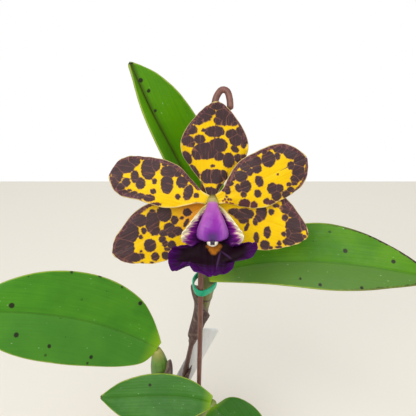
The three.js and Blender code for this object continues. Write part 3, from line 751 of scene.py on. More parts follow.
@dataclass(frozen=True)
class FibrousStem(Finish):
    """Living stem: fibres run lengthwise under a satin skin, with darker rings at the nodes."""

    reads = ("pattern", "share")
    body: str = "#7c8040"
    shade: str = "#565c28"
    tip: str = "#8d7e59"
    tip_from: float = 0.9
    rings: tuple[float, ...] = ()
    ring_half: float = 0.006
    fibre_spacing: float = 0.7

    def build(self, add: Adder, marks: Marks) -> bpy.types.Node:
        """Adds the nodes and returns the shader."""
        pattern, share = marks
        fibres = streaks(add, pattern, (0.05, 1 / self.fibre_spacing, 0.6), 4.0)
        cloud = add(Node.NOISE, pattern, 0.18, 4.0)
        mixed = add(Node.MATH, fibres, 0.6, cloud, operation="MULTIPLY_ADD")
        body = coat(add, self.body, self.shade, mixed, 0.6, 1.0)
        colour = coat(add, body, self.tip, share, self.tip_from - 0.06, self.tip_from + 0.03, 0.9)
        for ring in self.rings:
            near = add(Node.MATH, share, ring, self.ring_half, operation="COMPARE")
            colour = add(Node.MIX, near, colour, self.shade)
        return skin(add, colour, 0.48, ((fibres, 0.5, 0.3),), {
            "Subsurface Weight": 0.03, "Subsurface Radius": (0.001, 0.001, 0.0005)})


@dataclass(frozen=True)
class DriedSheath(Finish):
    """Dead papery bract: matte and brittle, with close lengthwise veins and worn patches."""

    reads = ("pattern", "margin")
    brown: str = "#664c48"
    dark: str = "#443031"
    worn: str = "#8e7d6a"
    vein_spacing: float = 0.55

    def build(self, add: Adder, marks: Marks) -> bpy.types.Node:
        """Adds the nodes and returns the shader."""
        pattern, margin = marks
        veins = streaks(add, pattern, (0.05, 1 / self.vein_spacing, 0.0), 4.0)
        lined = coat(add, self.dark, self.brown, veins, 0.35, 0.65)
        patched = coat(add, lined, self.worn, add(Node.NOISE, pattern, 0.22, 5.0), 0.52, 0.66, 0.75)
        colour = coat(add, patched, self.worn, margin, 0.9, 0.1, 0.7)
        return skin(add, colour, 0.75, ((veins, 0.45, 0.3),))


@dataclass(frozen=True)
class RootVelamen(Finish):
    """Living rhizome and roots: corky silver-green skin, browner where it is dry."""

    green: str = "#7e7c4c"
    silver: str = "#b9b49a"
    brown: str = "#5d4a32"

    def build(self, add: Adder, marks: Marks) -> bpy.types.Node:
        """Adds the nodes and returns the shader."""
        cloud = add(Node.NOISE, marks[0], 0.12, 5.0)
        grain = add(Node.NOISE, marks[0], 1.4, 4.0)
        mixed = add(Node.MATH, grain, 0.4, cloud, operation="MULTIPLY_ADD")
        colour = add(Node.RAMP, mixed, stops=((0.5, self.brown), (0.64, self.green), (0.8, self.silver)))
        return skin(add, colour, 0.8, ((grain, 0.6, 0.4),))


@dataclass(frozen=True)
class FirBark(Finish):
    """Graded fir bark: rough corky layers, red-brown where it broke and grey where it weathered."""

    reads = ("place", "chunk")
    dark: str = "#2e1c12"
    red: str = "#6e4429"
    tan: str = "#8c5c38"
    grey: str = "#8a7764"
    layer: float = 1.3

    def build(self, add: Adder, marks: Marks) -> bpy.types.Node:
        """Adds the nodes and returns the shader."""
        where, chunk = marks
        cork = streaks(add, where, (0.25, 0.25, 1 / self.layer), 6.0)
        grit = add(Node.NOISE, where, 0.9, 6.0)
        shade = add(Node.MATH, chunk, 0.35, cork, operation="MULTIPLY_ADD")
        colour = add(Node.RAMP, shade, stops=(
            (0.42, self.dark), (0.6, self.red), (0.78, self.tan), (0.92, self.grey)))
        return skin(add, colour, 0.92, ((cork, 0.9, 0.9), (grit, 0.7, 0.4)))


@dataclass(frozen=True)
class Terracotta(Finish):
    """Thrown and fired earthenware, unglazed: matte, with throwing rings and pale lime bloom."""

    clay: str = "#b96f48"
    dark: str = "#96522f"
    bloom: str = "#d9b79c"
    ring_spacing: float = 2.4

    def build(self, add: Adder, marks: Marks) -> bpy.types.Node:
        """Adds the nodes and returns the shader."""
        cloud = add(Node.NOISE, marks[0], 0.035, 5.0)
        grit = add(Node.NOISE, marks[0], 1.1, 5.0)
        rings = streaks(add, marks[0], (0.008, 0.008, 1 / self.ring_spacing), 2.0)
        clay = coat(add, self.clay, self.dark, cloud, 0.35, 0.65)
        mixed = add(Node.MATH, grit, 0.35, cloud, operation="MULTIPLY_ADD")
        colour = coat(add, clay, self.bloom, mixed, 0.72, 0.9, 0.5)
        return skin(add, colour, 0.88, ((rings, 0.35, 0.5), (grit, 0.35, 0.3)))


@dataclass(frozen=True)
class Plastic(Finish):
    """Moulded, extruded or dipped plastic: smooth, with faint scuffs and handling marks."""

    colour: str = "#00b884"
    shade: str = "#04946c"
    roughness: float = 0.3
    transmission: float = 0.0
    # Scuffs run this many millimetres
    scuff: float = 2.0

    def build(self, add: Adder, marks: Marks) -> bpy.types.Node:
        """Adds the nodes and returns the shader."""
        scuffs = streaks(add, marks[0], (1.0, 1.0, 0.25), 5.0, 1 / self.scuff)
        colour = coat(add, self.colour, self.shade, scuffs, 0.4, 0.7)
        gloss = add(Node.RANGE, scuffs, 0.3, 0.75, self.roughness, self.roughness + 0.2)
        return skin(add, colour, gloss, ((scuffs, 0.15, 0.1),), {"Transmission Weight": self.transmission})


@dataclass(frozen=True)
class Blade:
    """A leaf or tepal: outlines laid along a rib, as its solid has them."""

    rib: Points
    left: Points
    # Left blank where it mirrors the left one
    right: Points = ()
    face: Point = (0.0, 0.0, 1.0)
    fold: float = 0.0
    cup: float = 0.0
    wave: float = 0.4
    waves: float = 3.0
    roll: float = 0.0
    twist: float = 0.0
    tip_from: float = 0.97

    def surface(self, u: Array, v: Array, relief: Array) -> tuple[Array, Array, Array]:
        """Works out the blade's middle surface.

        Args:
            u: Shares along the blade.
            v: Places across it, from -1 to 1.
            relief: Height in millimetres added to the surface.

        Returns:
            Points, distances along the rib and distances from it, in millimetres.
        """
        path = Path.bezier(self.rib)
        stretch = path.length / self.left[-1][0]
        left, right = outline_at(self.left, u), outline_at(self.right or self.left, u)
        edge = np.where((v > 0)[..., None], right, left)
        middle = (left[..., 0] + right[..., 0]) / 2 * stretch
        reach = np.clip(middle + (edge[..., 0] * stretch - middle) * np.abs(v), 0, path.length)
        tip = np.clip((u - self.tip_from) / (1 - self.tip_from), 0, 1)
        width = edge[..., 1] * v * np.sqrt(1 - 0.97 * tip**2)
        centre, tangent = path.at(reach / path.length)
        normal, _ = square_to(tangent, self.face)
        turn = np.radians(self.roll + self.twist * (1 - ease(reach / path.length, 0, 0.5)))[..., None]
        normal = normal * np.cos(turn) + np.cross(tangent, normal) * np.sin(turn)
        side = np.cross(tangent, normal)
        keel = 1.5
        lift = math.tan(math.radians(self.fold)) * (np.hypot(width, keel) - keel)
        lift = lift - self.cup * v * v * np.sin(math.pi * u)
        lift = lift + self.wave * np.abs(v) ** 3 * np.sin(TURN * self.waves * u + 1.2 * v)
        return centre + side * width[..., None] + normal * (lift + relief)[..., None], reach, width


def from_margin(u: Array, v: Array, reach: Array, width: Array) -> Array:
    """Returns how far places of a blade lie from its margin or its tip."""
    half = np.abs(width) / np.maximum(np.abs(v), 1e-3)
    return np.minimum(half * (1 - np.abs(v)), (1 - u) * reach.max())


# A spot is (across, up, half width, half height) and, where it leans, its turn in degrees,
# in millimetres from the bloom's centre, as the bloom is looked at from a little above its face
Spot = tuple[float, ...]


@dataclass(frozen=True)
class Sketch:
    """The view that the markings are laid out in: how the bloom's face is looked at."""

    tilt: float = 12.0
    distance: float = 215.0
    offset: tuple[float, float] = (2.0, 2.3)

    def seen(self, points: Array) -> tuple[Array, Array]:
        """Carries points of the bloom's frame to the sketch.

        Args:
            points: Points across, up and out of the bloom's face.

        Returns:
            Their places across and up the sketch.
        """
        tilt = math.radians(self.tilt)
        across, up, out = points[..., 0], points[..., 1], points[..., 2]
        depth = self.distance - up * math.sin(tilt) - out * math.cos(tilt)
        right, rise = self.offset
        near = self.distance / depth
        x = (across + right) * near - right
        y = (up * math.cos(tilt) - out * math.sin(tilt) + rise) * near - rise
        return x, y

    def spots(self, points: Array, spots: Sequence[Spot]) -> tuple[Array, Array]:
        """Measures how far points lie from spots.

        Args:
            points: Points in the bloom's frame.
            spots: The spots.

        Returns:
            Distance outside the nearest spot, negative inside, and how much further the next one is.
        """
        x, y = self.seen(points)
        found = []
        for across, up, wide, tall, *turn in spots:
            angle = math.radians(sum(turn))
            dx, dy = x - across, y - up
            a = (dx * math.cos(angle) + dy * math.sin(angle)) / wide
            b = (dy * math.cos(angle) - dx * math.sin(angle)) / tall
            radius = np.hypot(a, b)
            found.append(radius * (radius - 1) / np.maximum(np.hypot(a / wide, b / tall), 1e-6))
        ranked = np.sort(np.stack(found), axis=0)
        return ranked[0], ranked[1] - ranked[0]


def ripple(u: Array, v: Array, seed: int, octaves: int = 4) -> Array:
    """Returns a smooth uneven relief, about -1 to 1, over a surface's coordinates.

    Args:
        u: First coordinate.
        v: Second coordinate.
        seed: Which relief it is.
        octaves: How many scales it has, each twice as fine as the last.

    Returns:
        The relief's heights.
    """
    rng = np.random.default_rng(seed)
    total = np.zeros(np.broadcast(u, v).shape)
    for octave in range(octaves):
        for _ in range(3):
            turn, phase = rng.uniform(0, TURN, 2)
            wave = (u * math.cos(turn) + v * math.sin(turn)) * 2**octave
            total += np.sin(wave + phase) / 3 / 1.6**octave
    return total


@dataclass(frozen=True)
class Tepal:
    """One sepal or petal: its blade, its spots, and how low they turn maroon."""

    node: str
    slot: str
    blade: Blade
    spots: Sequence[Spot]
    maroon_below: float = -99.0
    blush: float = 0.0
    # Share of the length at which a dark fringe starts: along the upper margin, then the lower
    fringe: tuple[float, float] = (2.0, 2.0)


TEPALS = (
    Tepal("dorsal_sepal", "sepal", Blade(
        rib=((0, 2.4, -5.5), (0.3, 15, -5.8), (1.2, 30, -4.5), (1.9, 44.4, -1.5)),
        left=(
            (0, 2.2), (5, 4.4), (12, 10), (18, 14.3), (24, 15.2), (30, 13), (36, 8.8), (40.5, 4.8),
            (43, 1.2)),
        cup=2.2, wave=0.3, waves=2.5), fringe=(0.5, 0.5), spots=(
        (3.5, 43.5, 4.5, 1.8), (5, 39, 3.6, 4.2), (7.5, 38, 3.5, 3.2), (3.5, 37.2, 3, 2.2),
        (9.5, 36, 2, 1.3), (-2.5, 41, 3.8, 2.1), (-3.5, 39, 3.2, 2.5), (-5.2, 38, 2.5, 1.6),
        (-7, 36.7, 3, 1.6), (-9.5, 33, 2.8, 2.2), (-11.5, 31.5, 1.5, 1.8), (-11, 28, 2.8, 2.4),
        (-9.5, 26.5, 1.8, 1.4), (-5.7, 28.7, 2.5, 2.1), (1, 32.2, 4.4, 2.5), (-3.5, 32.7, 1.3, 0.8),
        (2.5, 26, 4.3, 3.2), (-3, 23.5, 5.8, 3.8), (-6.5, 22.5, 2.8, 3), (3, 21, 2.3, 2),
        (8.7, 31, 2.8, 2.2), (10.5, 28.5, 3, 3), (12.5, 32, 2, 2.6), (14, 28, 1.5, 3.5),
        (10, 24.3, 2, 1.3, -35), (7.2, 19.3, 2.7, 3.4), (11.2, 20.3, 1.5, 1.8), (14, 21, 1.4, 1),
        (-11.5, 20.2, 2.2, 3.3, 20), (-7.8, 14, 1.5, 3.8, 30), (0, 16.7, 0.9, 0.7), (-2, 12, 3.2, 3.2),
        (1.5, 12, 4.5, 3.2), (4.5, 12.5, 2.2, 2.4), (-1, 5, 3.2, 2.2), (3.5, 6.4, 1.8, 2.5),
        (-5, 6.5, 1, 3.5), (5.6, 6.5, 1, 3.5))),
    Tepal("petal_left", "petal", Blade(
        rib=((-2.2, 0.8, -3), (-14, 6, -3), (-31, 10, -2), (-46, 12, -1)),
        left=((0, 2), (4, 3.2), (10, 6.5), (17, 9), (25, 9.2), (32, 8.6), (38, 8), (42.5, 5.6), (45, 1.2)),
        right=((0, 2), (4, 3), (10, 7), (17, 11), (25, 12.2), (32, 12), (38, 10.6), (42.5, 7), (45, 1.2)),
        cup=1, wave=0.8, waves=2.5, roll=25), (
        (-39.5, 17, 5, 3.8), (-36, 18.5, 3.5, 2.5), (-42.8, 13.2, 2.6, 4.3), (-43.8, 9.5, 2, 3.5),
        (-41.5, 7.2, 2.2, 1.8), (-38.8, 9.2, 1.9, 1.9), (-34.8, 11.7, 1.8, 2.8), (-32.4, 8.8, 2.2, 2.6),
        (-28.8, 15.2, 3.3, 4.8), (-26, 16.8, 2.6, 2.8), (-31.5, 19.8, 0.5, 0.7), (-26.1, 9.6, 1, 1.3),
        (-26.7, 5.2, 1.3, 1.2), (-37.3, 5.6, 1.1, 0.6), (-20.5, 8.3, 2.8, 4.2), (-19.5, 14, 3.9, 2.8),
        (-16, 13, 2, 1.5), (-21.5, 17.5, 1.3, 1.2), (-13.8, 9.3, 2.6, 2.6), (-10.9, 4.6, 2.1, 3.5, -18),
        (-15.6, 2.8, 1.1, 1.3), (-28.5, 2.2, 2.6, 1.6), (-32.5, 3, 2.6, 1.3), (-36.5, 4, 3, 1, 15),
        (-40, 5, 2.5, 1), (-25.5, -0.5, 2.5, 0.7), (-7.3, 3.3, 1.2, 1.1), (-8, -1, 0.8, 0.8),
        (-6.3, -1, 0.7, 0.7), (-8.5, -0.9, 0.5, 0.6), (-7.3, -0.2, 0.6, 0.4), (-6.6, -0.9, 0.5, 0.5),
        (-7.1, -1.9, 0.5, 0.4), (-6.2, -1.6, 0.4, 0.5), (-5.9, -0.7, 0.4, 0.4), (-6.9, -2.5, 0.5, 0.3)),
        maroon_below=2.0, fringe=(0.12, 0.55)),
    Tepal("petal_right", "petal", Blade(
        rib=((2.2, 1.2, -3), (14, 5.5, -3), (28, 13, -2), (41.5, 20.3, -1)),
        left=(
            (0, 2), (4, 3.5), (10, 8.2), (17, 11.7), (25, 12.4), (32, 12.2), (38, 10.4), (42.5, 6.4),
            (45, 1.2)),
        cup=1, wave=0.8, waves=2.5), (
        (31, 24.5, 4, 2.3), (36, 23.5, 4.5, 3.8), (39.3, 20.5, 3, 4.8), (38.7, 14, 2.8, 4),
        (37.3, 11, 2.2, 2.2), (35.2, 16.8, 1.5, 1.9), (29.2, 21.3, 1.1, 2), (25.2, 19.7, 3.1, 3.6),
        (23.5, 22.6, 1.3, 1.2), (18.5, 18.7, 3.6, 2.8), (20, 15.5, 2.1, 2), (14.5, 16.3, 2.8, 1.9, -35),
        (16.8, 14, 1.6, 1.7), (12.8, 12, 3, 2.6), (14.9, 7.6, 2.5, 2.8), (9, 11.2, 1.4, 1.4),
        (7.9, 9, 1.5, 1.4), (11.6, 6.7, 1.3, 2, 20), (6.8, 5.8, 1.4, 1.8), (14, 3.9, 1.3, 1.3),
        (21, 9.9, 1.8, 2.5, 20), (20.3, 4.3, 1.6, 1.7), (26.9, 6.6, 2.4, 2.6), (30, 6.7, 1.9, 1.9),
        (28.7, 3.3, 2.2, 2.4), (29.3, 12.9, 0.45, 0.45), (33, 4, 1.8, 1.7), (35, 6.2, 1.5, 1.3),
        (34.5, 8.5, 1.3, 0.9), (36.8, 9.3, 1.5, 1.3), (14.4, -0.2, 2.6, 2.1), (18.7, -0.9, 1.5, 1.8),
        (24.4, 0.9, 1.5, 1.4), (26.6, 0, 1.5, 1.4), (8.3, -0.6, 1.3, 0.9), (6.4, 0.3, 0.6, 0.6),
        (6.3, 2.8, 0.6, 0.6), (7.1, 1.6, 0.4, 0.4), (6.1, -1, 0.4, 0.4), (5, -1.7, 0.4, 0.3),
        (8.2, 1.6, 0.4, 0.3), (5.7, 1.8, 0.4, 0.4), (4.8, 0.9, 0.3, 0.4)),
        maroon_below=2.2, fringe=(0.1, 0.6)),
    Tepal("sepal_left", "sepal", Blade(
        rib=((-2, -1.2, -5.5), (-17, -11, -7.5), (-31, -19.5, -6), (-46.5, -25, -4)),
        left=(
            (0, 2.2), (6, 5.8), (14, 10.8), (21, 13.6), (28, 14), (34, 12.6), (39.5, 9.8), (45, 6.4),
            (48.5, 1.2)),
        cup=1.2, wave=0.4, waves=2.5), (
        (-38.5, -13, 5.5, 5.5), (-40, -20, 5, 5.5), (-36, -24.3, 4.5, 2.1), (-31.8, -23.8, 1.4, 1.4),
        (-33, -7.8, 4, 2.8), (-27, -8.5, 3.2, 5), (-26, -12, 2.5, 2.6), (-27, -4, 1.3, 1.3),
        (-21.7, -4.7, 3.4, 3.7), (-19.3, -11.3, 2.6, 2.5), (-16, -12.5, 2.7, 2), (-18.3, -14, 2, 1.6),
        (-22, -13.5, 2, 1.6), (-17, -7.7, 1.6, 2.1), (-13.7, -6.7, 1, 0.7), (-11.3, -4.2, 2, 1.8),
        (-11.8, -8.8, 0.8, 2.2, -33), (-30.7, -12.4, 1.2, 1.5), (-32.1, -15.3, 0.9, 0.9),
        (-28, -19, 2.7, 2.9), (-32.1, -21.7, 0.6, 0.5), (-22.5, -16.3, 1.6, 1.5), (-21.3, -18.2, 1.3, 1.5),
        (-18.2, -18.7, 1.9, 1.8), (-25.7, -24, 1.8, 1.9), (-21, -23.5, 1.8, 1.8), (-20.3, -20.7, 1.3, 0.8),
        (-31.5, -26.9, 0.7, 0.4), (-27.3, -26.7, 0.9, 0.35)), blush=1.0, fringe=(0.22, 0.78)),
    Tepal("sepal_right", "sepal", Blade(
        rib=((2, -1, -5.5), (16, -7, -7.5), (30, -12, -6), (44.3, -16.3, -4)),
        left=(
            (0, 2.2), (5, 5.8), (12, 11), (18, 14.3), (24.5, 14.5), (31, 11.9), (36, 8.3), (40.5, 4.7),
            (43, 1.2)),
        cup=1.2, wave=0.4, waves=2.5), (
        (10, -3.8, 3, 1.6), (14, -5, 4.7, 2.7), (14, -7.5, 2.3, 1.7), (22, -4, 2.4, 3.8), (21, -6.5, 2, 2),
        (19.3, -8.2, 1.1, 1.8), (15.4, -10.6, 0.8, 2, -25), (26.4, -4, 1.3, 1.3), (28.7, -1.2, 1.5, 0.8),
        (32.6, -6.6, 1.4, 1.5), (33, 0.5, 2, 2.5), (33.5, -2.5, 3, 2.5), (36.5, -4.5, 2.7, 2.2),
        (31.5, -2.5, 1.2, 1.2), (37, -10, 4.2, 3.8), (40.3, -9.5, 2.5, 3), (37.5, -15.5, 3.7, 2.4),
        (34.5, -17.3, 3, 1.8), (41, -15, 1.2, 0.8), (34.2, -13, 1.3, 3), (32.1, -13.8, 1.1, 1.1),
        (24.6, -13.1, 1.6, 2.6), (19.7, -15.4, 1.2, 2.5), (23.5, -18.8, 2.1, 2.2), (26, -20, 1, 0.6),
        (30, -18, 1, 1.2), (29.8, -19.7, 1.5, 0.5)),
        fringe=(0.45, 2.0)),
)


@dataclass(frozen=True)
class Bloom:
    """The flower: five spotted tepals, the lip, the column and its anther cap."""

    centre: Point = (28, 6, 309.5)
    tilt: float = 64.0
    sketch: Sketch = Sketch()
    tepals: Sequence[Tepal] = TEPALS
    tepal_mesh: tuple[int, int] = (156, 78)
    lip_mesh: tuple[int, int] = (190, 110)
    column_mesh: tuple[int, int] = (90, 72)
    cap_mesh: tuple[int, int] = (44, 64)
    # Half thicknesses down the middle, and how much thinner they are at the margin
    tepal_half: tuple[float, float] = (0.42, 0.2)
    lip_half: tuple[float, float] = (0.4, 0.16)
    tepal_vein_spacing: float = 1.5
    # Depth of the dark fringe inside a tepal's margin
    fringe_margin: float = 1.9
    lip_rib: Points = ((0, -1, -1.6), (0, -13.5, -3), (0, -20.5, 2), (0, -29.5, 13))
    lip_left: Points = (
        (0, 2.5), (3, 8), (7, 12.5), (12, 15), (16, 15.6), (19.5, 14.2), (20.5, 9.5), (20, 12), (20.5, 16),
        (23, 19.2), (28, 19.6), (31.8, 16.6), (28.8, 12.5), (33, 8), (34.6, 1))
    lip_right: Points = (
        (0, 2.5), (3, 8), (7, 12.5), (12, 15), (16, 15.6), (19.5, 14.2), (20.5, 9.5), (19.6, 12), (18.4, 16),
        (19.4, 19.2), (22.5, 20), (25.4, 16.5), (25.2, 10.8), (32, 7.6), (34.6, 1))
    callus: Sequence[Spot] = ((0.7, -19.6, 3.5, 1.5), (0.7, -20.9, 2.6, 1.6), (0.7, -22.1, 1.5, 1.3))
    # Lines along the mid lobe's fold crests, which carry a painted highlight
    folds: Sequence[Spot] = (
        (-12.2, -29, 3, 0.28, 49), (2.7, -25.8, 3.6, 0.26, 77), (6, -23.4, 2.6, 0.24, -35))
    column_line: Points = ((0, 0.4, 0.8), (0, -5.6, 4.2), (0, -11, 6), (0, -15.9, 6.5))
    column_stations: Points = (
        (0, 2.1, 1.4), (0.25, 3.6, 2.4), (0.5, 5.5, 2.9), (0.75, 7, 3.1), (0.92, 6.6, 2.8), (1, 4, 1.8))
    cap_radii: Point = (2.5, 1.9, 1.9)
    cap_centre: Point = (0, -16.7, 6.8)

    def to_plant(self, points: Array) -> Array:
        """Carries points of the flower's own frame to the plant's."""
        turn = Matrix.Rotation(math.radians(self.tilt), 3, "X")
        return points @ np.array(turn).T + np.array(self.centre)

    def build_tepal(self, tepal: Tepal) -> None:
        """Builds and dresses one sepal or petal.

        Args:
            tepal: The sepal or petal.
        """
        u, v = grid(*self.tepal_mesh)
        blade, seed = tepal.blade, len(tepal.spots)
        _, reach, width = blade.surface(u, v, np.zeros_like(u))
        groove = -0.3 * np.exp(-(width / 0.9) ** 2) * (1 - 0.7 * u)
        veins = TURN * width / self.tepal_vein_spacing + 1.5 * ripple(4 * u, 2 * v, seed)
        swell = 0.3 * ripple(5 * u, 3 * v, seed + 1, 3) * ease(1 - u, 0, 0.1)
        frill = 0.3 * ease(np.abs(v), 0.7, 1) * np.sin(19 * TURN * u / 2 + 4 * ripple(6 * u, v, seed + 2, 2))
        relief = groove + 0.035 * np.sin(veins) + swell + frill * ease(u, 0.1, 0.3)
        points, reach, width = blade.surface(u, v, relief)
        spots, seams = self.sketch.spots(points, tepal.spots)
        margin = from_margin(u, v, reach, width)
        across, up = self.sketch.seen(points)
        middle = np.hypot(across, up)
        half_way = len(u) // 2
        upper = np.sign(up[half_way, -1] - up[half_way, 0])
        start = np.where(v * upper > 0, *tepal.fringe)
        band = margin - self.fringe_margin - 0.8 * ripple(9 * u, v, seed + 3, 3)
        band = band + 6 * (1 - ease(u, start - 0.06, start + 0.06))
        maroon = ease(-up, -tepal.maroon_below, 1.5 - tepal.maroon_below)
        spots = np.minimum(spots, band)
        middle_half, thinning = self.tepal_half
        thick = middle_half - thinning * np.abs(v) ** 3
        values = {
            "s": reach, "w": width, "spots": spots, "seams": seams, "margin": margin,
            "base": 0.8 - 0.8 * ease(middle, 2, 4.5), "fringe": 1 - ease(band, -0.3, 0.3),
            "maroon": maroon * (1 - 0.85 * ease(middle, 8.5, 11)),
            "blush": tepal.blush * (1 - ease(middle, 10, 22)),
        }
        piece = sheet(tepal.node + "_blade", self.to_plant(points), thick, thick, values)
        place(piece, tepal.node, tepal.slot, SpottedTepal("Tepal_living_satin").material())

    def build_lip(self) -> None:
        """Builds and dresses the lip, a curled throat that opens to a ruffled mid lobe."""
        u, v = grid(*self.lip_mesh)
        path = Path.bezier(self.lip_rib)
        left, right = outline_at(self.lip_left, u), outline_at(self.lip_right, u)
        edge = np.where((v > 0)[..., None], right, left)
        size = np.abs(v)
        plain = path.length * u
        reach = np.clip(plain + (edge[..., 0] - plain) * size**1.5, 0, path.length)
        width = edge[..., 1] * v
        centre, tangent = path.at(reach / path.length)
        normal = np.stack([np.zeros_like(u), tangent[..., 2], -tangent[..., 1]], -1)
        curl = 7 + 3.5 * ease(u, 0.1, 0.32) + 70 * ease(u, 0.4, 0.6)
        flare = np.maximum(0, np.abs(width) - 8) * (1 - ease(u, 0.38, 0.46))
        across = curl * np.sin(width / curl) + np.sign(v) * 0.45 * flare
        ruffle = 2.8 * ease(u, 0.5, 0.7) * size**1.5 * np.sin(18 * u + 2.2 * v)
        frill = 0.8 * ease(size, 0.62, 1) * np.sin(TURN * 17 * u + 3 * ripple(7 * u, v, 41, 2))
        crimp = 0.22 * ripple(16 * u, 8 * v, 43, 3) * (0.5 + size)
        ridges = 0.3 * np.cos(width * 2.1) * np.exp(-(width / 4) ** 2) * ease(u, 0.1, 0.2)
        height = curl * (1 - np.cos(width / curl)) - 0.35 * flare + ruffle
        height = height + frill * ease(u, 0.08, 0.2) + crimp + ridges
        points = centre + normal * height[..., None]
        points[..., 0] += across
        callus, _ = self.sketch.spots(points, self.callus)
        folds, _ = self.sketch.spots(points, self.folds)
        half = np.maximum(edge[..., 1], 0)
        values = {
            "s": reach, "w": width, "margin": np.minimum(half * (1 - size), (1 - u) * path.length),
            "along": u, "callus": callus, "crests": np.clip(0.35 - 1.2 * folds, 0, 0.5),
        }
        middle_half, thinning = self.lip_half
        thick = middle_half - thinning * size**3
        piece = sheet("lip_blade", self.to_plant(points), thick, thick, values)
        place(piece, "lip", "lip", VelvetLip("Lip_living_velvet").material())

    def build_column(self) -> None:
        """Builds and dresses the column, with a shallow hollow under its cap, and the cap."""

        def relief(t: Array, turn: Array) -> Array:
            """Returns the hollow and a fine unevenness."""
            front = np.exp(-((turn - math.pi / 2) / 0.5) ** 2)
            return -0.7 * front * ease(t, 0.7, 0.85) + 0.06 * ripple(20 * t, 3 * turn, 5)

        line = Path.through([self.to_plant(np.array(p, float)) for p in self.column_line])
        out = self.to_plant(np.array([0.0, 0, 1])) - np.array(self.centre)
        radii = partial(radii_at, self.column_stations)
        column = rod("column_fused", line, radii, out, *self.column_mesh, relief)
        place(column, "column", "column", WaxyColumn("Column_living_waxy").material())
        rings, sides = self.cap_mesh
        polar, turn = np.meshgrid(
            np.linspace(0.04, math.pi - 0.04, rings), np.arange(sides) * TURN / sides, indexing="ij")
        x, z = np.sin(polar) * np.cos(turn), np.sin(polar) * np.sin(turn)
        y = np.cos(polar)
        # A groove parts the cap's two halves, and its beak is cut short below
        cleft = np.exp(-(x / 0.22) ** 2) * ease(z, 0.1, 0.8)
        shape = np.stack([x * (1 + 0.12 * y), y * (1 - 0.1 * ease(-y, 0, 1)), z * (1 - 0.3 * cleft)], -1)
        points = shape * np.array(self.cap_radii) + np.array(self.cap_centre)
        # Painted shade: the dark pocket stands for the shade in the hollow under the cap, and the cap's upper
        # part is darkened where the column shades it
        pocket = ease(z, 0.25, 0.7) * (1 - ease(np.abs(x), 0.3, 0.5)) * (1 - ease(-y, 0.1, 0.5))
        values = {"pattern": points, "pocket": np.maximum(pocket, 0.9 * ease(y, 0.3, 0.65))}
        place(loft("anther_cap_skin", self.to_plant(points), values), "anther_cap", "anther",
              AntherSkin("Anther_living_ivory").material())

    def build(self) -> None:
        """Builds the whole flower."""
        for tepal in self.tepals:
            self.build_tepal(tepal)
        self.build_lip()
        self.build_column()


@dataclass(frozen=True)
class Leaf:
    """One leaf: its blade and its finish."""

    node: str
    blade: Blade
    finish: CuticleLeaf
    # Dark spots: distance along the rib, distance from it and radius
    marks: Points = ((-50, 0, 1),)


